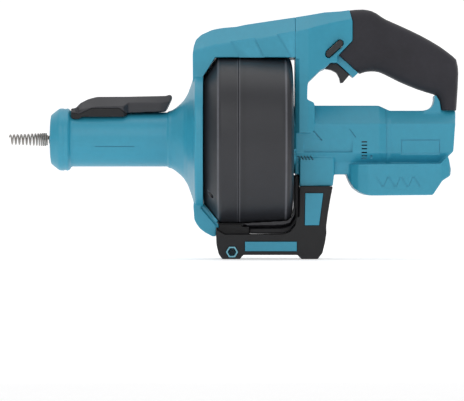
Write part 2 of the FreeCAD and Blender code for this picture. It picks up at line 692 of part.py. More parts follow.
# ---------------------------------------------------------------- cable and auger
def coil_points():
    """The stored cable about X: from the axis outward, then two layers of turns."""
    inner_rad = dims["coil_rad"] - 9.0
    layer_rise = 8.9
    steps_out = 9
    points = [Vec(-9.9, 0, 0), Vec(-4.5, 0, 0.3), Vec(0.5, 0, 3.0)]
    for i in range(1, steps_out):
        radius = 5.0 + (inner_rad - 5.0) * i / steps_out
        angle = math.radians(90 - 150 * i / steps_out)
        x = 2.5 + 14.0 * i / steps_out
        points.append(Vec(x, radius * math.cos(angle), radius * math.sin(angle)))

    turn_start = len(points)

    def add(x, radius):
        angle = math.radians(-60 - 20 * (len(points) - turn_start))
        points.append(Vec(x, radius * math.cos(angle), radius * math.sin(angle)))

    step = dims["coil_pitch"] / 18.0  # 18 points of 20 degrees to a turn
    x = 17.5
    while x < 47.5:
        add(x, inner_rad)
        x += step
    for i in range(6):
        add(x, inner_rad + layer_rise * i / 6.0)
    while x > -4.0:
        add(x, inner_rad + layer_rise)
        x -= step
    return points


def auger_points():
    """A bulb-shaped helix about X that widens fast at its rear and narrows to the tip."""
    rear, tip = -184.72, -223.2
    rear_rad, bulb_rad = 3.2, 6.05
    points_per_turn = 16
    points = []
    x = rear
    while x > tip:
        done = (x - rear) / (tip - rear)
        widen = min(1.0, done / 0.05)
        blend = widen * widen * (3 - 2 * widen)
        bulb = bulb_rad - 2.15 * max(0.0, done - 0.12)
        radius = rear_rad + (bulb - rear_rad) * blend
        angle = 2 * math.pi * len(points) / points_per_turn
        points.append(Vec(x, radius * math.cos(angle), radius * math.sin(angle)))
        pitch = 1.75 + 1.85 * min(1.0, max(0.0, done - 0.13) * 3.4)
        x -= pitch / points_per_turn
    return points


shape_piece("cable_coil", sweep(coil_points(), dims["cable_rad"]), Vec(0, 0, AXIS))
shape_piece("bulb_auger", sweep(auger_points(), dims["auger_wire_rad"]), Vec(0, 0, AXIS))
turned_piece("cable_lead", [
    ("cable_front", "cable_core_rad"), ("cable_front", "cable_rad"),
    ("cable_rear", "cable_rad"), ("cable_rear", "cable_core_rad"),
])

# ---------------------------------------------------------------- nose internals
turned_piece("nose_bushing", [
    (-182.4, 4.6), (-182.4, 8.9), (-178.1, 8.9), (-178.1, 14.0), (-172.0, 14.0), (-172.0, 4.6),
])
turned_piece(
    "drum_neck_bushing", [(-52.0, 22.06), (-52.0, 28.0), (-45.5, 28.0), (-45.5, 22.06)])

LOWER_ROLLER_Y = 9.7
LOWER_ROLLER_Z = AXIS - 5.6
TOP_ROLLER_Z = AXIS + 12.4
ROOM_HALF_LEN = 11.5  # the rollers are 11 to each side of their middle
PIN_FRONT = -146.0
PIN_BORE_LEN = 32.0


def lower_roller_room(y):
    """Room in the cage for a lower roller and its pin."""
    room_rad = ("roller_rad", 0.6)
    mid = dims["roller_mid"]
    return [
        cylinder(mid, y, LOWER_ROLLER_Z, room_rad, ROOM_HALF_LEN),
        cylinder(mid - ROOM_HALF_LEN, y, LOWER_ROLLER_Z, room_rad, ROOM_HALF_LEN),
        cylinder(PIN_FRONT, y, LOWER_ROLLER_Z, "pin_rad", PIN_BORE_LEN),
    ]


def feed_roller(node, y, z):
    """A chamfered roller, bored for its pin."""
    body = new_body()
    body_feature(body, "Revolution", [
        (-11, "pin_rad"), (-11, 6.2), (-10.2, "roller_rad"), (10.2, "roller_rad"), (11, 6.2),
        (11, "pin_rad"),
    ])
    bore_rad = ("pin_rad", 0.05)
    body_feature(body, "Groove", [
        (-ROOM_HALF_LEN, 0), (-ROOM_HALF_LEN, bore_rad), (ROOM_HALF_LEN, bore_rad),
        (ROOM_HALF_LEN, 0),
    ])
    body.Placement = Placement(Vec(dims["roller_mid"], y, z), Rotation())
    piece(body, node)


cage_round = turned([(-147.5, 5.6), (-147.5, 23.9), (-112.5, 23.9), (-112.5, 5.6)])
piece(cut(
    cage_round,
    box(-150, -108, -8.4, 8.4, AXIS + 1.5, AXIS + 30),
    box(-141.6, -118.4, -5, 5, AXIS - 8, AXIS + 8),
    *lower_roller_room(-LOWER_ROLLER_Y),
    *lower_roller_room(LOWER_ROLLER_Y),
), "roller_cage")
pin_pair = doc.addObject("Part::Compound", "roller_pin_pair")
pin_pair.Links = [
    cylinder(PIN_FRONT, y, LOWER_ROLLER_Z, ("pin_rad", -0.01), PIN_BORE_LEN)
    for y in (-LOWER_ROLLER_Y, LOWER_ROLLER_Y)
]
piece(pin_pair, "feed_roller_pins")
feed_roller("feed_roller_left", -LOWER_ROLLER_Y, LOWER_ROLLER_Z)
feed_roller("feed_roller_right", LOWER_ROLLER_Y, LOWER_ROLLER_Z)
feed_roller("feed_roller_top", 0.0, TOP_ROLLER_Z)

# ---------------------------------------------------------------- feed lever
# The outside is what a side outline, a plan and a loft have in common.
lever_side = slab([
    (-161.3, 149.8), (-161.2, 140.4), (-158.4, 138.9), (-153.2, 138.9), (-149.9, 141.2),
    (-106.6, 141.2), (-104.4, 145.2), (-68, 146.6), (-67.6, 147.4), (-65.8, 149.4),
    (-61.4, 158.6), (-60.8, 161.4), (-61.6, 163.0), (-63.4, 163.6), (-67, 162.4),
    (-105, 161.6), (-135, 161.4), (-143, 159.8), (-152, 155.2), (-156.6, 150.2),
], 23.0)
lever_plan = extrude([
    (-162, -20), (-162, 20), (-152, 22.0), (-110, 22.0), (-104, 17.0), (-72, 16.0),
    (-58, 13), (-58, -13), (-72, -16.0), (-104, -17.0), (-110, -22.0), (-152, -22.0),
], 200.0, 0.0, "XY")
lever_roof = loft([
    (-162.5, [(20, 130), (20, 144), (9, 152.5)]),
    (-150.0, [(22, 130), (22, 148.5), (10, 157.5)]),
    (-135.0, [(22, 130), (22, 151.0), (11, 161.7)]),
    (-106.0, [(21, 130), (21, 151.5), (9.5, 161.8)]),
    (-57.0, [(15.5, 130), (15.5, 154.0), (8, 164.2)]),
])
lever_block = common(common(lever_side, lever_plan), lever_roof)
lever_room = slab([
    (-159.3, 130), (-159.3, 149.8), (-157.6, 152.2), (-151, 152.4), (-146.5, 154.8),
    (-138, 157.6), (-106, 158.6), (-72, 158.6), (-68.5, 150), (-68.0, 140), (-100, 130),
], 12.4)
lever_wide_room = slab([
    (-159.3, 130), (-159.3, 143.0), (-151.5, 146.5), (-112.5, 146.5), (-108, 141.0),
    (-104, 139),
], 19.2)
lever_low_room = slab([(-108, 139), (-108, 147.8), (-69.5, 149.0), (-69.5, 139)], 13.8)
tube_room = turned([(-165, 0), (-165, 27.9), (-150, 27.9), (-56, 31.7), (-56, 0)])
lever_shell = lever_block
for room in (tube_room, lever_low_room, lever_wide_room, lever_room):
    lever_shell = cut(lever_shell, room)

pivot_blocks = fuse(
    box(-159, -151, 7.6, 21.0, 143.5, 151.0), box(-159, -151, -21.0, -7.6, 143.5, 151.0))
pivot_bosses = cut(common(pivot_blocks, lever_block), tube_room)
lever_hole = cylinder("lever_pivot_x", -30, "lever_pivot_z", ("pin_rad", 0.05), 60, "Y")
lever_whole = cut(fuse(lever_shell, pivot_bosses), lever_hole)

# Two plates that hang down in front of and behind the top roller.
arm_plates = fuse(
    slab([(-144.6, 160), (-144.6, 129.2), (-142.0, 128.0), (-141.2, 130.0), (-141.2, 160)], 5.0),
    slab([(-118.8, 160), (-118.8, 129.2), (-118.0, 128.0), (-115.4, 129.2), (-115.4, 160)], 5.0),
)
arms = common(arm_plates, fuse(lever_block, box(-150, -110, -6, 6, 120, 150)))
top_pin_hole = cylinder(PIN_FRONT, 0, TOP_ROLLER_Z, "pin_rad", PIN_BORE_LEN)
# The skirt is the part of the lever inside this zone.
skirt_zone = fuse(
    slab([
        (-170, 120), (-170, 146.0), (-153.0, 144.0), (-140.6, 149.7), (-112.8, 149.7),
        (-107.0, 145.4), (-104.0, 144.6), (-60, 144.6), (-60, 120),
    ], 30.0),
    box(-162.5, -159.1, -16, 16, 144, 149.6),
)
piece(cut(fuse(cut(lever_whole, skirt_zone), arms), top_pin_hole), "feed_lever_top")
piece(common(lever_whole, skirt_zone), "feed_lever_skirt")
piece(
    cylinder("lever_pivot_x", -19.0, "lever_pivot_z", ("pin_rad", -0.01), 38.0, "Y"),
    "lever_pivot_pin",
)
piece(cylinder(-145.0, 0, TOP_ROLLER_Z, ("pin_rad", -0.01), 30.0), "feed_roller_top_pin")

# ---------------------------------------------------------------- trigger and selector
trigger_face = slab([
    (91.5, 189.4), (97.0, 194.8), (103.4, 195.0), (116.6, 183.7), (109.9, 175.7),
    (107.1, 175.3), (106.0, 180.6), (103.2, 185.5), (98.3, 188.2), (94.1, 189.0),
], "trigger_half")
trigger_stem = slab([(104.2, 194.2), (113.2, 204.6), (119.0, 199.6), (110.0, 189.2)], 5.0)
piece(fuse(trigger_face, trigger_stem), "trigger")
piece(slab([
    (92.2, 203.6), (92.3, 201.8), (94.0, 200.3), (95.8, 200.4), (108.0, 211.4),
    (109.2, 213.5), (109.1, 215.7), (107.4, 217.2), (105.2, 217.1), (92.9, 205.6),
], "selector_half"), "direction_selector")

# ---------------------------------------------------------------- gears
GEAR_FRONT = dims["gear_front"]
GEAR_WIDTH = dims["gear_width"]
BACKLASH = dims["gear_backlash"]
PRESSURE_ANGLE = math.radians(20)


def toothed_prism(teeth, above, below, slack, phase, width):
    """A spur prism along +X with involute flanks.

    The tips stand above and the roots below the pitch circle; slack thins each tooth and phase
    is the angle of the first tooth from +Y in degrees.
    """
    pitch_rad = dims["gear_module"] * teeth / 2
    base_rad = pitch_rad * math.cos(PRESSURE_ANGLE)
    tip, root = pitch_rad + above, pitch_rad - below
    pitch_half = math.pi / (2 * teeth) - slack / (2 * pitch_rad)

    def involute(radius):
        angle = math.acos(min(1, base_rad / radius))
        return math.tan(angle) - angle

    def half_angle(radius):
        return pitch_half + involute(pitch_rad) - involute(max(radius, base_rad))

    flank_start = max(root, base_rad)
    radii = [root] + [flank_start + (tip - flank_start) * k / 4.0 for k in range(5)]
    polar = []
    for tooth in range(int(teeth)):
        centre = math.radians(phase) + 2 * math.pi * tooth / teeth
        polar += [(r, centre - half_angle(r)) for r in radii]
        polar += [(r, centre + half_angle(r)) for r in reversed(radii)]
    points = []
    for radius, angle in polar:
        point = Vec(0, radius * math.cos(angle), radius * math.sin(angle))
        if not points or (point - points[-1]).Length > 1e-4:
            points.append(point)
    return Part.Face(Part.makePolygon(points + [points[0]])).extrude(Vec(width, 0, 0))


def centre_bore(radius):
    return Part.makeCylinder(radius, 40, Vec(-10, 0, 0), ALONG_X)


for k, (y, z) in enumerate(planet_places):
    planet = toothed_prism(
        dims["planet_teeth"], above=0.82, below=1.2, slack=BACKLASH, phase=120.0 * k + 190.0,
        width=GEAR_WIDTH)
    planet = planet.cut(centre_bore(PLANET_PIN_RAD + 0.05))
    shape_piece("planet_gear_" + "abc"[k], planet, Vec(GEAR_FRONT, y, z))

# The ring's teeth are what a wider gear-shaped void leaves standing.
ring_void = toothed_prism(
    dims["ring_teeth"], above=1.25, below=0.8, slack=-BACKLASH, phase=3.75, width=GEAR_WIDTH + 2)
ring = Part.makeCylinder(27.4, GEAR_WIDTH + 1, Vec(-0.5, 0, 0), ALONG_X)
ring = ring.cut(ring_void.translated(Vec(-1, 0, 0)))
shape_piece("ring_gear", ring, Vec(GEAR_FRONT, 0, AXIS))

sun = toothed_prism(
    dims["sun_teeth"], above=0.85, below=1.25, slack=BACKLASH, phase=0.0, width=GEAR_WIDTH)
shape_piece("motor_pinion", sun.cut(centre_bore(dims["shaft_rad"])), Vec(GEAR_FRONT, 0, AXIS))


# ---------------------------------------------------------------- gearbox and motor
def ring_outline(x0, x1, inner, outer):
    """The outline of a plain ring."""
    return [(x0, inner), (x0, outer), (x1, outer), (x1, inner)]


turned_piece("gearbox_case", [
    (74.6, 17.2), (74.6, 29.2), (97.0, 29.2), (97.0, 27.5), (77.6, 27.5), (77.6, 17.2),
])
turned_piece("motor_can", [
    (99.1, 9.0), (99.1, 29.2), (146.0, 29.2), (146.0, 27.1), (101.0, 27.1), (101.0, 9.0),
])
# Plain rings: node, front x, rear x, inner radius, outer radius.
for node, x0, x1, inner, outer in (
    ("gearbox_cover", 94.8, 98.9, 9.55, 27.4),
    ("spindle_bearing", 62.6, 74.4, ("spindle_rad", 0.05), 17.0),
    ("motor_front_bearing", 94.8, 98.9, ("shaft_rad", 0.05), 9.5),
    ("motor_stator", 106.0, 138.0, 18.4, 27.0),
    ("motor_shaft", 83.6, 161.0, 0, ("shaft_rad", -0.01)),
    ("motor_rotor", 106.5, 137.5, "shaft_rad", 17.6),
    ("motor_rear_bearing", 153.0, 158.0, ("shaft_rad", 0.05), 9.5),
    ("motor_end_plate", 151.8, 159.5, 9.55, 24.4),
):
    turned_piece(node, ring_outline(x0, x1, inner, outer))

winding_pair = doc.addObject("Part::Compound", "winding_pair")
winding_pair.Links = [
    turned(ring_outline(x0, x1, 20.0, 25.6)) for x0, x1 in ((102.4, 105.9), (138.1, 142.4))
]
piece(winding_pair, "stator_windings")


def motor_fan():
    """A disc and a boss with nine radial blades on the rear face."""
    fan = Part.makeCylinder(21.5, 1.4, Vec(0, 0, 0), ALONG_X)
    fan = fan.fuse(Part.makeCylinder(6.5, 6.0, Vec(0, 0, 0), ALONG_X))
    for k in range(9):
        blade = Part.makeBox(5.6, 14.0, 1.4, Vec(1.2, 6.0, -0.7))
        blade.rotate(Vec(0, 0, 0), ALONG_X, 40 * k)
        fan = fan.fuse(blade)
    bore = Part.makeCylinder(dims["shaft_rad"], 20, Vec(-5, 0, 0), ALONG_X)
    return fan.cut(bore).removeSplitter()


shape_piece("motor_fan", motor_fan(), Vec(143.4, 0, AXIS))

# ---------------------------------------------------------------- electrics
padded_piece("control_board", [(166, 108), (166, 109.6), (205, 109.6), (205, 108)], 18.0)
padded_piece("trigger_switch", [
    (124.5, 206.5), (124.5, 229.5), (148.0, 229.5), (152.0, 222.0), (152.0, 197.0),
    (136.0, 197.0),
], 8.4)
padded_piece(
    "battery_terminal_block", [(140.1, 66.5), (140.1, 77.4), (172, 77.4), (172, 66.5)], 12.0)
shape_piece("battery_terminals", Part.makeCompound([
    Part.makeBox(14.0, 0.8, 6.0, Vec(172.1, y - 0.4, 69.0)) for y in (-8.0, 0.0, 8.0)
]))

# (y, z) section of the left rail, y from the rail's outer side.
RAIL_SECTION = [(0.05, 77.4), (4.6, 77.4), (4.6, 71.5), (7.8, 71.5), (7.8, 68.5), (0.05, 68.5)]
RAIL_FRONT = 141.5


def battery_rail(node, x, side, turn):
    """An L-shaped rail; the right one is the left one turned half round Z."""
    body = new_body()
    pad = body_feature(body, "Pad", RAIL_SECTION, "YZ")
    pad.setExpression("Length", "Sizes.rail_len")
    body.Placement = Placement(Vec(x, side * dims["rail_half"], 0), Rotation(ALONG_Z, turn))
    piece(body, node)


battery_rail("battery_rail_left", RAIL_FRONT, -1, 0)
battery_rail("battery_rail_right", RAIL_FRONT + dims["rail_len"], 1, 180)

# ---------------------------------------------------------------- check and export
doc.recompute()
bad = [
    (o.Name, o.Label, o.State) for o in doc.Objects if "Invalid" in o.State or "Error" in o.State
]
if bad:
    raise RuntimeError("objects in error: %r" % bad)
faults = [
    node for node, obj in pieces
    if obj.Shape.isNull() or not obj.Shape.isValid() or not obj.Shape.Solids
]
if faults:
    raise RuntimeError("shapes null, invalid or without a solid: %r" % faults)
os.makedirs("parts", exist_ok=True)
for node, obj in pieces:
    obj.Shape.exportStep("parts/%s.step" % node)
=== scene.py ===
"""Hand-held drum auger: moulded skins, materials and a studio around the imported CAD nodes.

The drum turns about a line along X at y = 0, z = AXIS_Z. The cable leaves the front at -X,
the grip is at the rear (+X), the left half is at -Y and Z is up. Shapes are given in mm and
turned into metres as each mesh is made; the stage, lights and camera are given in metres.
"""
import bpy
import bmesh
import json
import math
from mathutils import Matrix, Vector


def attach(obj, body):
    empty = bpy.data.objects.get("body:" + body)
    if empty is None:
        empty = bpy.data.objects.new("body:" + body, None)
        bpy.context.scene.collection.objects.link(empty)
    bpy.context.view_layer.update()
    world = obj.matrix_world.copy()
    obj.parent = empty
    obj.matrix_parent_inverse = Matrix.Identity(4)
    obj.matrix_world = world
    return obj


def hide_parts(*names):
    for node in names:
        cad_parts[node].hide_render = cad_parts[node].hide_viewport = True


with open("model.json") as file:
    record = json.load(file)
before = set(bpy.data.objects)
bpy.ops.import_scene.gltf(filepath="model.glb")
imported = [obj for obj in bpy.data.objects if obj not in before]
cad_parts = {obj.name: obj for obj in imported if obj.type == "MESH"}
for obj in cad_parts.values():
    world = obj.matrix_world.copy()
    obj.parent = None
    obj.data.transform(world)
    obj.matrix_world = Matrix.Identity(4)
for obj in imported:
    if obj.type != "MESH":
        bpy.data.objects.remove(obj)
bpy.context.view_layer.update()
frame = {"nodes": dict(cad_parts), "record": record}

NODES = frame["nodes"]
RECORD = frame["record"]
BODY = {node: body for body, nodes in RECORD["behaviour"]["bodies"].items() for node in nodes}
SLOT = {part["node"]: part["material_slot"] for part in RECORD["subparts"]}

MM = 0.001
AXIS_Z = 119.0  # height of the drum axis, mm


def detail(quick, full):
    """Returns the full value of a mesh setting; quick is not used."""
    return full


SHELL_VOXEL = detail(1.3, 0.75)
SHADE_ANGLE = 32  # degrees; sharper edges on carved mouldings stay crisp


# ------------------------------------------------------------------ mesh building
def new_object(name, verts, faces):
    mesh = bpy.data.meshes.new(name)
    mesh.from_pydata([tuple(v) for v in verts], [], faces)
    mesh.validate()
    obj = link_mesh(name, mesh)
    work = bmesh.new()
    work.from_mesh(mesh)
    bmesh.ops.recalc_face_normals(work, faces=work.faces)
    work.to_mesh(mesh)
    work.free()
    return obj


def link_mesh(name, mesh):
    obj = bpy.data.objects.new(name, mesh)
    bpy.context.scene.collection.objects.link(obj)
    return obj


def band_faces(rings, count, wrap=False):
    """Quads between successive closed rings of count points; wrap joins the last to the first."""
    faces = []
    for a in range(rings if wrap else rings - 1):
        b = (a + 1) % rings
        for i in range(count):
            j = (i + 1) % count
            faces.append([a * count + i, a * count + j, b * count + j, b * count + i])
    return faces


def cap_faces(rings, count):
    return [list(range(count))[::-1], list(range((rings - 1) * count, rings * count))]


def solid(start, end):
    """A solid between two matching outlines of (x, y, z) in mm."""
    count = len(start)
    verts = [(x * MM, y * MM, z * MM) for x, y, z in start + end]
    return new_object("solid", verts, cap_faces(2, count) + band_faces(2, count))


def prism(outline, y0, y1):
    """An outline of (x, z) standing between two y planes."""
    return solid(*([(x, y, z) for x, z in outline] for y in (y0, y1)))


def slab(outline, side, near, far):
    """A prism on one side of the middle plane, between two distances from it."""
    return prism(outline, *sorted((side * near, side * far)))


def upright(outline, side, z0, z1):
    """An outline of (x, distance from the middle plane) between two heights."""
    return solid(*([(x, side * y, z) for x, y in outline] for z in (z0, z1)))


def lengthwise(outline, side, x0, x1):
    """An outline of (distance from the middle plane, z) between two x planes."""
    return solid(*([(x, side * y, z) for y, z in outline] for x in (x0, x1)))


def rod(x0, x1, y, z, radius):
    """A round bar along X."""
    turns = [2 * math.pi * k / 32 for k in range(32)]
    return solid(*([(x, y + radius * math.cos(a), z + radius * math.sin(a)) for a in turns]
                   for x in (x0, x1)))


def arc_strip(profile, start, end, steps=12):
    """An (x, radius) loop turned about the drum axis; degrees run from straight down."""
    verts = []
    for i in range(steps + 1):
        a = math.radians(start + (end - start) * i / steps)
        verts += [(x * MM, r * math.sin(a) * MM, (AXIS_Z - r * math.cos(a)) * MM)
                  for x, r in profile]
    size = (steps + 1, len(profile))
    return new_object("strip", verts, band_faces(*size) + cap_faces(*size))


def lathe(name, profile, segments):
    """Turns a closed loop of (x, radius) fully about the drum axis."""
    verts = []
    for k in range(segments):
        a = 2 * math.pi * k / segments
        verts += [(x * MM, r * MM * math.cos(a), AXIS_Z * MM + r * MM * math.sin(a))
                  for x, r in profile]
    return new_object(name, verts, band_faces(segments, len(profile), wrap=True))


def rounded_profile(corners, steps=6):
    """Replaces each inner corner of an (x, radius, rounding) line by a small curve."""
    points = [corner[:2] for corner in corners]
    rounded = [points[0]]
    for i in range(1, len(points) - 1):
        corner = Vector(points[i])
        rounding = corners[i][2]
        if rounding <= 0:
            rounded.append(tuple(corner))
            continue
        before, after = Vector(points[i - 1]) - corner, Vector(points[i + 1]) - corner
        cut = min(rounding, before.length * 0.45, after.length * 0.45)
        start = corner + before.normalized() * cut
        end = corner + after.normalized() * cut
        for k in range(steps + 1):
            t = k / steps
            rounded.append(tuple(start.lerp(corner, t).lerp(corner.lerp(end, t), t)))
    rounded.append(points[-1])
    return rounded


def bar(x0, z0, x1, z1, width):
    """The (x, z) outline of a straight bar along a line."""
    run = Vector((x1 - x0, z1 - z0)).normalized()
    dx, dz = -run.y * width / 2, run.x * width / 2
    return [(x0 + dx, z0 + dz), (x1 + dx, z1 + dz), (x1 - dx, z1 - dz), (x0 - dx, z0 - dz)]


def rectangle(x0, z0, x1, z1):
    return [(x0, z0), (x0, z1), (x1, z1), (x1, z0)]


# ------------------------------------------------------------------ mesh editing
def apply_modifiers(obj):
    graph = bpy.context.evaluated_depsgraph_get()
    mesh = bpy.data.meshes.new_from_object(
        obj.evaluated_get(graph), preserve_all_data_layers=False, depsgraph=graph)
    old = obj.data
    obj.modifiers.clear()
    obj.data = mesh
    if old.users == 0:
        bpy.data.meshes.remove(old)


def boolean(obj, other, operation):
    """Joins, cuts or intersects obj with other, which is used up."""
    modifier = obj.modifiers.new("boolean", "BOOLEAN")
    modifier.operation, modifier.object, modifier.solver = operation, other, "EXACT"
    apply_modifiers(obj)
    bpy.data.objects.remove(other, do_unlink=True)
    return obj


def group(parts):
    """Gathers cutters into one object, so that they are cut in one pass."""
    work = bmesh.new()
    for part in parts:
        work.from_mesh(part.data)
        bpy.data.objects.remove(part, do_unlink=True)
    mesh = bpy.data.meshes.new("cutters")
    work.to_mesh(mesh)
    work.free()
    return link_mesh("cutters", mesh)


def smooth_faces(obj):
    for face in obj.data.polygons:
        face.use_smooth = True


def soften(obj, voxel, passes):
    """Turns a hard-edged solid into one with small moulded radii."""
    remesh = obj.modifiers.new("remesh", "REMESH")
    remesh.mode, remesh.voxel_size, remesh.use_smooth_shade = "VOXEL", voxel * MM, True
    remesh.adaptivity = 0.0
    smooth = obj.modifiers.new("smooth", "SMOOTH")
    smooth.factor, smooth.iterations = 0.5, passes
    apply_modifiers(obj)
    smooth_faces(obj)
    return obj


def soften_region(obj, passes, weight_at):
    """Rounds further where weight_at(x, y, z), in mm, is above zero."""
    region = obj.vertex_groups.new(name="region")
    for vertex in obj.data.vertices:
        weight = weight_at(*(c / MM for c in vertex.co))
        if weight > 0:
            region.add([vertex.index], weight, "REPLACE")
    smooth = obj.modifiers.new("smooth", "SMOOTH")
    smooth.factor, smooth.iterations, smooth.vertex_group = 0.5, passes, "region"
    apply_modifiers(obj)
    obj.vertex_groups.clear()


def shade(obj, angle=SHADE_ANGLE):
    """Smooth shading, with edges sharper than angle (degrees) left crisp."""
    smooth_faces(obj)
    limit = math.radians(angle)
    work = bmesh.new()
    work.from_mesh(obj.data)
    for edge in work.edges:
        edge.smooth = not (len(edge.link_faces) == 2 and edge.calc_face_angle(0.0) > limit)
    work.to_mesh(obj.data)
    work.free()


def copy_node(node):
    """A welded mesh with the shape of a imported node, free to be rounded and carved."""
    source = NODES[node]
    mesh = source.data.copy()
    obj = link_mesh(node + "_skin", mesh)
    mesh.transform(source.matrix_world)
    work = bmesh.new()
    work.from_mesh(mesh)
    bmesh.ops.remove_doubles(work, verts=work.verts, dist=2e-6)
    bmesh.ops.dissolve_degenerate(work, edges=work.edges, dist=1e-7)
    work.to_mesh(mesh)
    work.free()
    for layer in list(mesh.uv_layers):
        mesh.uv_layers.remove(layer)
    return obj


def settle(obj, material, node, name):
    """Gives a piece its name, its material and its body, and hides the node it stands for."""
    obj.name = name
    obj.data.name = name
    obj.data.materials.clear()
    obj.data.materials.append(MATERIALS[material])
    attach(obj, BODY[node])
    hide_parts(node)


# ------------------------------------------------------------------ shader helpers
BLACK = (0, 0, 0, 1)
WHITE = (1, 1, 1, 1)


def new_material(name):
    material = bpy.data.materials.new(name)
    material.use_nodes = True
    tree = material.node_tree
    return material, tree, tree.nodes["Principled BSDF"]


def object_coords(tree):
    return tree.nodes.new("ShaderNodeTexCoord").outputs["Object"]


def feed(tree, socket, value):
    """Links an output to a socket, or sets a plain value on it."""
    if isinstance(value, bpy.types.NodeSocket):
        tree.links.new(value, socket)
    else:
        socket.default_value = value


def noise(tree, coords, scale, detail, roughness, stretch=None):
    node = tree.nodes.new("ShaderNodeTexNoise")
    node.inputs["Scale"].default_value = scale
    node.inputs["Detail"].default_value = detail
    node.inputs["Roughness"].default_value = roughness
    if stretch:
        mapping = tree.nodes.new("ShaderNodeMapping")
        mapping.inputs["Scale"].default_value = stretch
        tree.links.new(coords, mapping.inputs["Vector"])
        coords = mapping.outputs["Vector"]
    tree.links.new(coords, node.inputs["Vector"])
    return node.outputs["Fac"]


def ramp(tree, factor, *stops):
    """A colour ramp with two (position, colour) stops."""
    node = tree.nodes.new("ShaderNodeValToRGB")
    for element, (position, colour) in zip(node.color_ramp.elements, stops):
        element.position, element.color = position, colour
    tree.links.new(factor, node.inputs["Fac"])
    return node.outputs["Color"]


def maths(tree, operation, a, b, clamp=False):
    node = tree.nodes.new("ShaderNodeMath")
    node.operation, node.use_clamp = operation, clamp
    feed(tree, node.inputs[0], a)
    feed(tree, node.inputs[1], b)
    return node.outputs[0]


def mix_colour(tree, factor, a, b, blend="MIX"):
    node = tree.nodes.new("ShaderNodeMix")
    node.data_type, node.blend_type = "RGBA", blend
    feed(tree, node.inputs["Factor"], factor)
    feed(tree, node.inputs[6], a)
    feed(tree, node.inputs[7], b)
    return node.outputs[2]


def bump(tree, height, strength, distance, under=None):
    """A bump of the given distance in metres, laid over another normal if there is one."""
    node = tree.nodes.new("ShaderNodeBump")
    node.inputs["Strength"].default_value = strength
    node.inputs["Distance"].default_value = distance
    tree.links.new(height, node.inputs["Height"])
    if under:
        tree.links.new(under, node.inputs["Normal"])
    return node.outputs["Normal"]


def srgb(rgb):
    """Linear RGBA from 0-255 display values."""
    shares = [value / 255.0 for value in rgb]
    return tuple(s / 12.92 if s <= 0.04045 else ((s + 0.055) / 1.055) ** 2.4
                 for s in shares) + (1.0,)


def tone(colour, gain, lift=0.0):
    return tuple(min(1.0, c * gain + lift) for c in colour[:3]) + (1.0,)


# ------------------------------------------------------------------ materials
def plastic(name, rgb, rough, grain=1400.0, vary=0.10, edge_wear_and_highlight=0.35, pale_edge_rgb=None):
    """Moulded plastic: fine grain, slow colour drift, paler edges that are partly wear and partly
    painted highlight, uneven gloss.

    grain is the texture scale, vary the colour drift and edge_wear_and_highlight the strength of
    the pale edges, which are partly wear and partly painted highlight.
    """
    material, tree, bsdf = new_material(name)
    coords = object_coords(tree)
    colour = srgb(rgb)
    slow = noise(tree, coords, scale=18.0, detail=4.0, roughness=0.6)
    fine = noise(tree, coords, scale=grain, detail=2.0, roughness=0.6)
    mid = noise(tree, coords, scale=160.0, detail=5.0, roughness=0.65)
    base = ramp(tree, slow, (0.3, tone(colour, 1 - vary)), (0.7, tone(colour, 1 + vary)))
    speck = ramp(tree, mid, (0.35, (0.975, 0.975, 0.975, 1)), (0.65, (1.02, 1.02, 1.02, 1)))
    base = mix_colour(tree, 1.0, base, speck, "MULTIPLY")

    # Pale convex edges from pointiness: partly real wear, partly painted highlight where edges
    # catch the light.
    pointiness = tree.nodes.new("ShaderNodeNewGeometry").outputs["Pointiness"]
    edge = ramp(tree, pointiness, (0.515, BLACK), (0.60, WHITE))
    amount = maths(tree, "MULTIPLY", edge, maths(tree, "MULTIPLY", mid, edge_wear_and_highlight))
    pale_edge_colour = srgb(pale_edge_rgb) if pale_edge_rgb else tone(colour, gain=1.6, lift=0.03)
    tree.links.new(mix_colour(tree, amount, base, pale_edge_colour), bsdf.inputs["Base Color"])

    spread = 0.14  # range of the roughness about its middle value
    edge_polish = 0.08  # worn edges are this much glossier
    gloss = maths(tree, "ADD", maths(tree, "MULTIPLY", mid, spread), rough - spread / 2)
    gloss = maths(tree, "SUBTRACT", gloss, maths(tree, "MULTIPLY", edge, edge_polish), clamp=True)
    tree.links.new(gloss, bsdf.inputs["Roughness"])
    normal = bump(tree, fine, strength=0.3, distance=0.00006)
    normal = bump(tree, mid, strength=0.06, distance=0.0001, under=normal)
    tree.links.new(normal, bsdf.inputs["Normal"])
    return material


def metal(name, rgb, rough, brushed=(1, 1, 1), grain=0.00002, stain_rgb=None):
    """Metal with streaked gloss; brushed stretches the streaks, grain is their depth in metres."""
    material, tree, bsdf = new_material(name)
    coords = object_coords(tree)
    colour = srgb(rgb)
    streak = noise(tree, coords, scale=900.0, detail=3.0, roughness=0.6, stretch=brushed)
    slow = noise(tree, coords, scale=60.0, detail=4.0, roughness=0.6)
    base = ramp(tree, slow, (0.3, tone(colour, 0.78)), (0.7, colour))
    if stain_rgb:
        stain_strength = 0.6
        blotch = noise(tree, coords, scale=240.0, detail=5.0, roughness=0.7)
        spots = ramp(tree, blotch, (0.5, BLACK), (0.72, WHITE))
        amount = maths(tree, "MULTIPLY", spots, stain_strength)
        base = mix_colour(tree, amount, base, srgb(stain_rgb))
    tree.links.new(base, bsdf.inputs["Base Color"])
    bsdf.inputs["Metallic"].default_value = 1.0
    spread, drop = 0.25, 0.12  # roughness added by the streaks, and the start below rough
    gloss = maths(tree, "ADD", maths(tree, "MULTIPLY", streak, spread), rough - drop, clamp=True)
    tree.links.new(gloss, bsdf.inputs["Roughness"])
    tree.links.new(bump(tree, streak, strength=0.25, distance=grain), bsdf.inputs["Normal"])
    return material


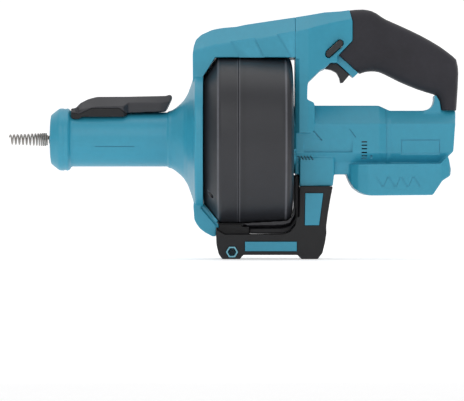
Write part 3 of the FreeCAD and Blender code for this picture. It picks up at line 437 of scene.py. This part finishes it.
def rubber(name, rgb, rough):
    """Dull pebbled rubber with a little pale dust."""
    material, tree, bsdf = new_material(name)
    coords = object_coords(tree)
    colour = srgb(rgb)
    pebble = tree.nodes.new("ShaderNodeTexVoronoi")
    pebble.inputs["Scale"].default_value = 900.0
    tree.links.new(coords, pebble.inputs["Vector"])
    mid = noise(tree, coords, scale=220.0, detail=5.0, roughness=0.65)
    slow = noise(tree, coords, scale=25.0, detail=3.0, roughness=0.5)
    base = ramp(tree, slow, (0.3, tone(colour, 0.82)), (0.7, tone(colour, 1.2)))
    dust = ramp(tree, mid, (0.45, BLACK), (0.8, WHITE))
    dust_strength = 0.16
    amount = maths(tree, "MULTIPLY", dust, dust_strength)
    base = mix_colour(tree, amount, base, tone(colour, gain=2.6, lift=0.01))
    tree.links.new(base, bsdf.inputs["Base Color"])
    spread = 0.2  # range of the roughness about its middle value
    gloss = maths(tree, "ADD", maths(tree, "MULTIPLY", mid, spread), rough - spread / 2,
                  clamp=True)
    tree.links.new(gloss, bsdf.inputs["Roughness"])
    bsdf.inputs["Specular IOR Level"].default_value = 0.38
    bsdf.inputs["Sheen Weight"].default_value = 0.12
    bsdf.inputs["Sheen Roughness"].default_value = 0.5
    normal = bump(tree, pebble.outputs["Distance"], strength=0.3, distance=0.00008)
    normal = bump(tree, mid, strength=0.15, distance=0.0001, under=normal)
    tree.links.new(normal, bsdf.inputs["Normal"])
    return material


def paint_light_rings(material, light_bands):
    """Lays rings of another colour along X on the turned drum: painted highlights and painted
    shade.
    """
    tree = material.node_tree
    base = tree.nodes["Principled BSDF"].inputs["Base Color"]
    source = base.links[0].from_socket
    coords = tree.nodes["Texture Coordinate"].outputs["Object"]
    split = tree.nodes.new("ShaderNodeSeparateXYZ")
    tree.links.new(coords, split.inputs[0])
    breakup = noise(tree, coords, scale=60.0, detail=4.0, roughness=0.6)
    breakup_lift = 0.5  # keeps the broken-up ring from fading out
    for x, half_width, strength, rgb in light_bands:
        away = maths(tree, "ABSOLUTE", maths(tree, "SUBTRACT", split.outputs[0], x * MM), 0.0)
        fade = maths(tree, "DIVIDE", away, half_width * MM)
        ring = maths(tree, "SUBTRACT", 1.0, fade, clamp=True)
        ring = maths(tree, "MULTIPLY", ring, strength)
        broken = maths(tree, "ADD", breakup, breakup_lift)
        amount = maths(tree, "MULTIPLY", ring, broken, clamp=True)
        source = mix_colour(tree, amount, source, srgb(rgb))
    tree.links.new(source, base)


FINISHES = {
    # The high pale-edge strengths of teal_plastic and drum_plastic, and the drum's pale edge
    # colour, are partly wear and partly painted highlight along their edges.
    "teal_plastic": (plastic, dict(rgb=(52, 152, 180), rough=0.36, vary=0.03, edge_wear_and_highlight=0.9)),
    "teal_inlay": (plastic, dict(rgb=(52, 148, 176), rough=0.36, vary=0.05, edge_wear_and_highlight=0.5)),
    "teal_sleeve": (plastic, dict(rgb=(118, 186, 204), rough=0.3, vary=0.05)),
    "black_rubber": (rubber, dict(rgb=(42, 41, 47), rough=0.72)),
    "drum_plastic": (plastic, dict(rgb=(40, 41, 46), rough=0.42, vary=0.07, edge_wear_and_highlight=1.1,
                                   pale_edge_rgb=(104, 108, 116))),
    "black_plastic": (plastic, dict(rgb=(18, 18, 21), rough=0.62, vary=0.08, edge_wear_and_highlight=0.5)),
    "lever_plastic": (plastic, dict(rgb=(46, 46, 51), rough=0.4, vary=0.06)),
    "switch_plastic": (plastic, dict(rgb=(30, 31, 35), rough=0.38, vary=0.08)),
    "cable_steel": (metal, dict(rgb=(176, 172, 168), rough=0.34, stain_rgb=(118, 92, 76))),
    "steel": (metal, dict(rgb=(190, 190, 192), rough=0.3, brushed=(1, 6, 6))),
    "hardened_steel": (metal, dict(rgb=(74, 74, 78), rough=0.42)),
    "cast_alloy": (metal, dict(rgb=(196, 198, 200), rough=0.5, grain=0.00006)),
    "bearing_bronze": (metal, dict(rgb=(190, 150, 88), rough=0.36)),
    "copper": (metal, dict(rgb=(190, 112, 70), rough=0.34, brushed=(1, 8, 8))),
    "circuit_board": (plastic, dict(rgb=(30, 96, 58), rough=0.35, grain=500.0)),
    "white_nylon": (plastic, dict(rgb=(222, 220, 210), rough=0.4, vary=0.03)),
}
MATERIALS = {name: make(name, **settings) for name, (make, settings) in FINISHES.items()}

# Painted light on the drum: the pale rings are painted highlights on the front bevel edge, the
# rear rounding and both edges of the shell seam; the dark ring is painted shade just behind the
# seam.
PAINTED_HIGHLIGHT_GREY = (112, 113, 120)
DRUM_PAINTED_LIGHT_RINGS = [  # x, half width, strength, display colour
    (-14.7, 1.5, 0.75, PAINTED_HIGHLIGHT_GREY), (52.2, 1.5, 0.75, PAINTED_HIGHLIGHT_GREY), (4.4, 0.7, 0.22, PAINTED_HIGHLIGHT_GREY),
    (6.6, 0.7, 0.5, PAINTED_HIGHLIGHT_GREY), (10.5, 4.0, 0.5, (32, 33, 37)),
]
paint_light_rings(MATERIALS["drum_plastic"], DRUM_PAINTED_LIGHT_RINGS)

for node, obj in NODES.items():
    obj.data.materials.clear()
    obj.data.materials.append(MATERIALS[SLOT[node]])
# The motor can takes the dark hardened steel: a blackened finish that also serves as painted
# shade, keeping the vent slots in front of it dark.
NODES["motor_can"].data.materials[0] = MATERIALS["hardened_steel"]


# ------------------------------------------------------------------ housings
SIDES = ((-1, "left"), (1, "right"))
OUTSIDE = 45  # distance from the middle plane that clears the rear housing

# (x, radius) section of the lining inside the bottom of the front housing
FRONT_LINING = [
    (-30.4, 62.0), (-29.6, 66.4), (-27.2, 69.2), (-15.2, 84.8),
    (-17.0, 86.4), (-29.2, 70.6), (-31.8, 67.0), (-32.6, 62.0),
]
# (x, z) outline, then near and far distance from the middle plane
FRONT_CUTS = [
    ([(-6.8, 222.0), (4.9, 202.0), (9.0, 195.0), (34.0, 195.0), (30.3, 202.0), (17.3, 228.0)],
     34.6, 42),
    ([(36.9, 232.0), (55.1, 203.0), (60.1, 195.0), (66, 195.0), (66, 238.0)], 34.6, 42),
    (bar(-137, 111.5, -98, 111.5, width=0.9), 25.2, 32),
]


def front_shell(side, tag):
    shell = soften(copy_node("front_housing_" + tag), SHELL_VOXEL, passes=3)
    soften_region(shell, 10, lambda x, y, z: 1.0 if x < -32 and abs(y) > 1.0 else 0.0)
    boolean(shell, arc_strip(FRONT_LINING, *sorted((side * 0.05, side * 17.0))), "UNION")
    cuts = [slab(outline, side, near, far) for outline, near, far in FRONT_CUTS]
    boolean(shell, group(cuts), "DIFFERENCE")
    shade(shell)
    settle(shell, "teal_plastic", "front_housing_" + tag, "front_shell_" + tag)


SLOT_HEIGHTS = (116.1, 112.8, 109.3, 105.6, 102.5, 100.0)  # middle z of each level slot
SLOT_HALF_HEIGHT = 0.65
SLANT_COUNT, SLANT_PITCH = 5, 3.1  # row of slanting slots
PANEL_INNER = (168.0, 104.5, 204.0, 117.3)  # x0, z0, x1, z1 inside the engraved frame
# (x, z) turning points of the zigzag below the rear panel
ZIGZAG = [
    (141.0, 82.4), (148.6, 70.6), (153.4, 82.4), (161.0, 70.6),
    (165.8, 82.4), (173.4, 70.6), (178.2, 82.4), (185.4, 71.4),
]
# (x, distance from the middle plane) of the tall cut at the front edge of the rear housing
EDGE_CUT = [(60.0, 30.0), (60.0, 45.0), (67.4, 45.0), (66.0, 35.6), (61.6, 31.4)]
# (distance from the middle plane, z) of the band cut across the flank, and the flank relief
FLANK_BAND = [
    (22.2, 95.0), (28.3, 105.5), (27.3, 134.0), (12.0, 147.9),
    (12.0, 170.0), (45.0, 170.0), (45.0, 95.0),
]
FLANK_RELIEF = [(31.7, 119.3), (29.6, 105.6), (45.0, 105.6), (45.0, 119.3)]
# (x, radius) section of the flat ring about the drum axis
REAR_RING = [(60.45, 17.6), (60.45, 33.8), (62.4, 33.8), (62.4, 17.6)]


def rear_weight(x, y, z):
    """Strongest low at the back, lighter over the lower middle, none at the parting plane."""
    if abs(y) <= 1.0:
        return 0.0
    if x > 104 and z < 95.5:
        return 1.0
    return 0.6 if x > 84 and z < 156 else 0.0


def zigzag_cuts(side):
    """Bars that stop short of each turn: wide going down, narrow going up."""
    cuts = []
    for (xa, za), (xb, zb) in zip(ZIGZAG, ZIGZAG[1:]):
        dx, dz = 0.1 * (xb - xa), 0.1 * (zb - za)
        outline = bar(xa + dx, za + dz, xb - dx, zb - dz, width=2.0 if zb < za else 0.8)
        cuts.append(slab(outline, side, 36.4, OUTSIDE))
    return cuts


def rear_cuts(side):
    cuts = [
        slab(bar(79.6, 127.0, 88.2, 117.4, width=1.2), side, 29.7, OUTSIDE),
        slab(bar(115.6, 128.6, 121.6, 120.6, width=1.0), side, 30.4, OUTSIDE),
        upright(EDGE_CUT, side, 109.0, 198.5),
        slab([(136.2, 103.0), (138.2, 103.0), (138.2, 98.6), (136.2, 98.6)],
             side, 27.0, OUTSIDE),
    ]
    for z in SLOT_HEIGHTS:
        level = rectangle(127.4, z - SLOT_HALF_HEIGHT, 132.9, z + SLOT_HALF_HEIGHT)
        cuts.append(slab(level, side, 25.4, OUTSIDE))
    for k in range(SLANT_COUNT):
        shift = SLANT_PITCH * k
        slant = bar(64.2 + shift, 102.2, 66.8 + shift, 98.3, width=1.5)
        cuts.append(slab(slant, side, 24.6, OUTSIDE))
    panel_frame = slab(rectangle(166.6, 103.2, 205.4, 118.6), side, 27.1, OUTSIDE)
    cuts.append(boolean(panel_frame, slab(rectangle(*PANEL_INNER), side, 20, 50), "DIFFERENCE"))
    cuts.append(slab(rectangle(168.4, 104.9, 203.6, 116.9), side, 27.7, OUTSIDE))
    cuts.append(lengthwise(FLANK_BAND, side, 151.6, 157.0))
    return cuts + zigzag_cuts(side)


def rear_shell(side, tag):
    shell = soften(copy_node("rear_housing_" + tag), SHELL_VOXEL, passes=3)
    soften_region(shell, 16, rear_weight)
    ring = arc_strip(REAR_RING, *sorted((side * 0.1, side * 179.9)), steps=40)
    boolean(shell, ring, "UNION")
    boolean(shell, lengthwise(FLANK_RELIEF, side, 70.0, 118.4), "DIFFERENCE")
    boolean(shell, group(rear_cuts(side)), "DIFFERENCE")
    shade(shell)
    settle(shell, "teal_plastic", "rear_housing_" + tag, "rear_shell_" + tag)


for side, tag in SIDES:
    front_shell(side, tag)
    rear_shell(side, tag)


# ------------------------------------------------------------------ rubber grip
# (x, z) on the outer and on the inner edge of the grip, from its top front to its foot
GRIP_STATIONS = [
    ((98, 246.6), (92, 196)), ((108, 247.2), (102, 191)), ((116.2, 248.0), (112, 186.5)),
    ((123, 248.7), (120, 184.6)), ((130, 248.9), (126.4, 184.4)), ((134.5, 248.3), (129.5, 185.6)),
    ((138.5, 247.3), (132.6, 186.5)), ((143.4, 244.9), (137.5, 187.0)),
    ((147.5, 242.0), (141.5, 187.0)), ((152.5, 238.9), (146, 186.2)),
    ((159.5, 235.8), (151, 184.2)), ((167.4, 232.3), (157.5, 180.9)),
    ((177.2, 227.8), (166, 176.6)), ((187.3, 222.9), (175, 172.7)),
    ((197.4, 217.4), (184.4, 169.0)), ((207.2, 211.4), (193, 166.2)),
    ((214.6, 206.0), (198, 164.7)), ((219.8, 201.9), (201.0, 163.8)),
    ((222.9, 198.9), (203.2, 162.6)), ((224.6, 191.6), (205.0, 159.4)),
    ((225, 185.3), (206.1, 157)), ((224.5, 172.0), (207.0, 152.6)),
    ((223.6, 158), (207.5, 149.6)), ((222.9, 147.7), (207.7, 147.7)),
]
# (x, z) outline of the part of the grip that is kept
GRIP_KEEP = [
    (115.6, 262), (116.2, 247.9), (117.6, 241.7), (119.2, 236), (119.2, 217.0), (105.6, 203.1),
    (125.5, 185.6), (126.6, 184.2), (127.5, 176), (150, 160), (199, 155), (199, 140),
    (240, 140), (240, 262),
]
GRIP_HALF_WIDTH = 17.5
GRIP_STEPS = 44  # steps round each half section
GRIP_SQUARENESS = 3.2  # superellipse exponent; 2 would be an ellipse


def grip_half(side):
    verts = []
    power = 2 / GRIP_SQUARENESS
    for (outer_x, outer_z), (inner_x, inner_z) in GRIP_STATIONS:
        centre = Vector(((outer_x + inner_x) / 2, 0, (outer_z + inner_z) / 2))
        reach = Vector((outer_x - inner_x, 0, outer_z - inner_z)) / 2
        for k in range(GRIP_STEPS + 1):
            a = math.pi * k / GRIP_STEPS
            out = math.copysign(abs(math.cos(a)) ** power, math.cos(a))
            wide = abs(math.sin(a)) ** power
            sideways = Vector((0, side * GRIP_HALF_WIDTH * wide, 0))
            verts.append((centre + reach * out + sideways) * MM)
    size = (len(GRIP_STATIONS), GRIP_STEPS + 1)
    caps = [cap[::-1] for cap in cap_faces(*size)]
    return new_object("grip", verts, band_faces(*size) + caps)


for side, tag in SIDES:
    grip = boolean(grip_half(side), prism(GRIP_KEEP, -30, 30), "INTERSECT")
    soften(grip, detail(1.0, 0.6), passes=3)
    settle(grip, "black_rubber", "grip_overmould_" + tag, "grip_rubber_" + tag)


# ------------------------------------------------------------------ drum
DRUM_SEGMENTS = detail(96, 256)
# x, radius, corner rounding
DRUM_FRONT = [
    (-50.4, 20.0, 0), (-50.4, 22.0, 0.6), (-29.8, 22.0, 0.6), (-29.8, 60.0, 3.0),
    (-28.8, 65.6, 2.5), (-26.6, 68.4, 2.5), (-14.6, 84.0, 3.5), (-11.6, 85.2, 3.0),
    (5.55, 85.3, 0.9), (5.55, 82.4, 0.4), (-11.4, 82.4, 1), (-24.4, 65.6, 1),
    (-26.8, 61.0, 1), (-26.8, 19.2, 0.5), (-50.4, 19.2, 0),
]
DRUM_REAR = [
    (5.55, 82.4, 0), (5.55, 85.3, 0.9), (8.6, 85.2, 0.5), (49.4, 83.4, 3.0), (55.0, 82.4, 3.0),
    (57.6, 79.6, 3.0), (59.2, 73.6, 3.0), (60.0, 64.0, 3.0), (60.0, 58.0, 0.4),
    (59.0, 56.5, 0.4), (59.0, 30, 0.4), (60.0, 28.5, 0.4), (60.0, 14.0, 0), (57.0, 14.0, 0),
    (57.0, 66.0, 1), (56.6, 72.2, 1), (55.0, 76.6, 1), (52.6, 79.4, 1), (49.6, 80.4, 1),
    (8.0, 82.2, 0),
]
POST_CIRCLE = 74.6  # radius on which the three round posts sit
POST_ANGLES = [math.radians(108 + 120 * i) for i in range(3)]
POST_CENTRES = [(POST_CIRCLE * math.cos(a), AXIS_Z + POST_CIRCLE * math.sin(a))
                for a in POST_ANGLES]
POST_HOLES = ((-40, -16.9, 3.3), (-30, 0, 1.6))  # x0, x1, radius: wide recess, narrow bore


def drum_front():
    drum = lathe("drum_front", rounded_profile(DRUM_FRONT), DRUM_SEGMENTS)
    for y, z in POST_CENTRES:
        boolean(drum, rod(-17.4, -12.2, y, z, radius=4.6), "UNION")
    for x0, x1, radius in POST_HOLES:
        for y, z in POST_CENTRES:
            boolean(drum, rod(x0, x1, y, z, radius), "DIFFERENCE")
    bevel = drum.modifiers.new("bevel", "BEVEL")
    bevel.width, bevel.segments = 0.35 * MM, 3
    bevel.limit_method, bevel.angle_limit = "ANGLE", math.radians(40)
    apply_modifiers(drum)
    shade(drum, 40)
    settle(drum, "drum_plastic", "drum_front_shell", "drum_shell_front")


def drum_rear():
    drum = lathe("drum_rear", rounded_profile(DRUM_REAR), DRUM_SEGMENTS)
    shade(drum, 40)
    settle(drum, "drum_plastic", "drum_rear_shell", "drum_shell_rear")


drum_front()
drum_rear()


# ------------------------------------------------------------------ smaller mouldings
# node, voxel size, smoothing passes, material
MOULDINGS = [
    ("stand_bracket", detail(1.2, 0.75), 4, "black_plastic"),
    # The guard lip takes the lighter lever plastic: painted highlight standing in for the glint on
    # its lit underside.
    ("drum_guard_lip", detail(0.9, 0.6), 5, "lever_plastic"),
    ("feed_lever_top", detail(0.9, 0.55), 13, "lever_plastic"),
    ("feed_lever_skirt", detail(0.9, 0.45), 7, "black_plastic"),
    ("trigger", detail(0.6, 0.32), 6, "switch_plastic"),
    ("direction_selector", detail(0.6, 0.35), 6, "switch_plastic"),
    ("inlay_base_left", detail(0.6, 0.3), 2, "teal_inlay"),
    ("inlay_base_right", detail(0.6, 0.3), 2, "teal_inlay"),
    ("inlay_post_left", detail(0.6, 0.3), 2, "teal_inlay"),
    ("inlay_post_right", detail(0.6, 0.3), 2, "teal_inlay"),
    ("hex_key_sleeve", detail(0.6, 0.35), 2, "teal_sleeve"),
]
# (x, z) outline of the collar joined to the direction selector
SELECTOR_COLLAR = [
    (91.9, 203.7), (91.8, 201.6), (93.8, 199.95), (96.0, 200.0), (108.3, 211.2),
    (109.5, 213.4), (109.4, 215.9), (107.6, 217.5), (105.1, 217.4), (92.6, 205.9),
]
# (x, radius) section and half angle of the strip that follows the drum
DRUM_STRIPS = {
    "stand_bracket": (
        [(-16.4, 86.1), (10.6, 86.1), (10.6, 87.6), (8.6, 89.2), (-16.4, 89.2)], 13.2),
    "drum_guard_lip": (
        [(60.5, 36.0), (60.5, 64.4), (59.85, 73.9), (58.2, 80.1), (55.4, 83.1), (49.4, 84.1),
         (49.4, 85.4), (56.4, 84.6), (59.6, 81.0), (61.4, 74.2), (62.0, 64.4), (62.0, 36.0)],
        8.0),
}

for node, voxel, passes, material in MOULDINGS:
    piece = copy_node(node)
    if node == "direction_selector":
        boolean(piece, prism(SELECTOR_COLLAR, -4.0, 4.0), "UNION")
    soften(piece, voxel, passes)
    if node in DRUM_STRIPS:
        section, half_angle = DRUM_STRIPS[node]
        boolean(piece, arc_strip(section, -half_angle, half_angle), "UNION")
        shade(piece)
    settle(piece, material, node, node + "_moulding")


# ------------------------------------------------------------------ cable and bulb
BULB_START, BULB_END = -184.72, -223.2  # x of the coil's rear and front ends
BULB_TURN_STEPS = 40
BULB_WIRE = 0.76  # wire radius
BULB_NECK, BULB_FULL = 3.2, 5.96  # coil radius at the rear end and at its widest
WIRE_SIDES = 16


def bulb_path():
    """Centre line of the coil: it swells quickly, then tapers and opens out to the front."""
    path = []
    x = BULB_START
    while x > BULB_END:
        share = (x - BULB_START) / (BULB_END - BULB_START)
        grow = min(1.0, share / 0.05)
        pitch = 1.75 + 1.85 * min(1.0, max(0.0, share - 0.13) * 3.4)
        swell = BULB_FULL - 1.75 * max(0.0, share - 0.12) - BULB_NECK
        radius = BULB_NECK + swell * (grow * grow * (3 - 2 * grow))
        a = 2 * math.pi * len(path) / BULB_TURN_STEPS
        path.append(Vector((x, radius * math.cos(a), AXIS_Z + radius * math.sin(a))))
        x -= pitch / BULB_TURN_STEPS
    return path


def bulb_auger():
    path = bulb_path()
    radii = [BULB_WIRE] * len(path)
    for i in range(1, 4):  # the wire narrows at its front tip
        radii[-i] = BULB_WIRE * (0.45 + 0.15 * i)
    verts = []
    axis = Vector((1, 0, 0))
    for i, (point, radius) in enumerate(zip(path, radii)):
        run = (path[min(len(path) - 1, i + 1)] - path[max(0, i - 1)]).normalized()
        across = (axis - run * axis.dot(run)).normalized()
        over = run.cross(across)
        for k in range(WIRE_SIDES):
            a = 2 * math.pi * k / WIRE_SIDES
            verts.append((point + across * radius * math.cos(a)
                          + over * radius * math.sin(a)) * MM)
    size = (len(path), WIRE_SIDES)
    bulb = new_object("bulb", verts, band_faces(*size) + cap_faces(*size))
    smooth_faces(bulb)
    settle(bulb, "cable_steel", "bulb_auger", "bulb_auger_wire")


LEAD_START, LEAD_END = -184.0, -10.0
LEAD_PITCH = 2.05
LEAD_STEPS, LEAD_SIDES = 12, 36  # rings per pitch, points per ring
LEAD_RADIUS, LEAD_GROOVE = 4.0, 0.62  # crest radius and groove depth


def cable_lead():
    """A solid rod whose surface follows the crests of closely wound wire."""
    rows = int((LEAD_END - LEAD_START) / LEAD_PITCH * LEAD_STEPS)
    verts = []
    for i in range(rows + 1):
        x = LEAD_START + (LEAD_END - LEAD_START) * i / rows
        for k in range(LEAD_SIDES):
            phase = ((x - LEAD_START) / LEAD_PITCH - k / LEAD_SIDES) % 1.0
            dip = 1.0 - math.sqrt(1.0 - (2 * phase - 1) ** 2)
            radius = LEAD_RADIUS - LEAD_GROOVE * dip ** 1.2
            a = 2 * math.pi * k / LEAD_SIDES
            verts.append((x * MM, radius * MM * math.cos(a),
                          AXIS_Z * MM + radius * MM * math.sin(a)))
    size = (rows + 1, LEAD_SIDES)
    lead = new_object("lead", verts, band_faces(*size) + cap_faces(*size))
    for face in lead.data.polygons:  # the end caps stay flat
        face.use_smooth = len(face.vertices) == 4
    settle(lead, "cable_steel", "cable_lead", "cable_lead_wound")


bulb_auger()
cable_lead()


# ------------------------------------------------------------------ stage, light and camera
FLOOR_FRONT, BEND_START, BEND_RADIUS, WALL_TOP = -3.0, 1.2, 1.2, 5.0
FLOOR_HALF_WIDTH = 6.0
FLOOR_DROP = 0.0004  # gap that keeps the floor clear of the product
BEND_STEPS = 12


def camera_ray_share(tree, gain, offset):
    """offset for all light, plus gain for what the camera sees directly."""
    seen = tree.nodes.new("ShaderNodeLightPath").outputs["Is Camera Ray"]
    return maths(tree, "ADD", maths(tree, "MULTIPLY", seen, gain), offset)


def floor_material():
    """Pale and faintly glowing, and clear from behind."""
    material, tree, bsdf = new_material("pale_floor")
    bsdf.inputs["Base Color"].default_value = (0.86, 0.86, 0.865, 1)
    bsdf.inputs["Roughness"].default_value = 0.85
    bsdf.inputs["Emission Color"].default_value = WHITE
    glow = camera_ray_share(tree, gain=0.12, offset=0.36)
    tree.links.new(glow, bsdf.inputs["Emission Strength"])
    clear = tree.nodes.new("ShaderNodeBsdfTransparent")
    mix = tree.nodes.new("ShaderNodeMixShader")
    backfacing = tree.nodes.new("ShaderNodeNewGeometry").outputs["Backfacing"]
    tree.links.new(backfacing, mix.inputs["Fac"])
    tree.links.new(clear.outputs["BSDF"], mix.inputs[1])
    tree.links.new(bsdf.outputs["BSDF"], mix.inputs[2])
    tree.links.new(mix.outputs["Shader"], tree.nodes["Material Output"].inputs["Surface"])
    return material


def studio_floor():
    """A floor that bends up into a wall behind the product, at +Y."""
    profile = [(FLOOR_FRONT, 0.0), (BEND_START, 0.0)]
    for k in range(1, BEND_STEPS + 1):
        a = math.pi / 2 * k / BEND_STEPS
        profile.append((BEND_START + BEND_RADIUS * math.sin(a),
                        BEND_RADIUS - BEND_RADIUS * math.cos(a)))
    profile.append((BEND_START + BEND_RADIUS, WALL_TOP))
    verts = [(x, y, z - FLOOR_DROP) for y, z in profile
             for x in (-FLOOR_HALF_WIDTH, FLOOR_HALF_WIDTH)]
    faces = [[2 * i, 2 * i + 1, 2 * i + 3, 2 * i + 2] for i in range(len(profile) - 1)]
    floor = new_object("studio_floor", verts, faces)
    smooth_faces(floor)
    floor.data.materials.append(floor_material())


LIGHT_TARGET = (0, 0, 0.12)


def area_light(name, place, size, power):
    """A rectangular light turned towards the product; power in watts."""
    light = bpy.data.lights.new(name, "AREA")
    light.shape, light.energy = "RECTANGLE", power
    light.size, light.size_y = size
    obj = bpy.data.objects.new(name, light)
    bpy.context.scene.collection.objects.link(obj)
    obj.location = place
    obj.rotation_mode = "QUATERNION"
    obj.rotation_quaternion = (Vector(LIGHT_TARGET) - Vector(place)).to_track_quat("-Z", "Y")


def set_world(scene):
    world = scene.world or bpy.data.worlds.new("studio")
    scene.world = world
    world.use_nodes = True
    tree = world.node_tree
    background = tree.nodes["Background"]
    background.inputs["Color"].default_value = WHITE
    strength = camera_ray_share(tree, gain=0.52, offset=0.48)
    tree.links.new(strength, background.inputs["Strength"])


CAMERA_DISTANCE = 3.4
VIEW_WIDTH = 0.464  # width seen at the middle plane
SENSOR_WIDTH = 36.0  # mm


def add_camera(scene):
    """Looks along +Y at the left side of the product."""
    camera = bpy.data.objects.new("camera", bpy.data.cameras.new("camera"))
    scene.collection.objects.link(camera)
    camera.location = (-0.001, -CAMERA_DISTANCE, 0.058)
    camera.rotation_euler = (math.pi / 2, 0, 0)
    camera.data.sensor_width = SENSOR_WIDTH
    camera.data.lens = SENSOR_WIDTH * CAMERA_DISTANCE / VIEW_WIDTH
    camera.data.clip_start, camera.data.clip_end = 0.05, 50
    scene.camera = camera


scene = bpy.context.scene
studio_floor()
area_light("key", place=(-0.35, -1.5, 1.15), size=(1.3, 1.0), power=5.0)
area_light("top", place=(0.0, 0.1, 1.7), size=(1.8, 1.2), power=7.0)
area_light("front", place=(0.1, -2.2, 0.55), size=(1.6, 1.0), power=2.5)
set_world(scene)
scene.view_settings.view_transform = "Standard"
scene.view_settings.look = "None"
add_camera(scene)
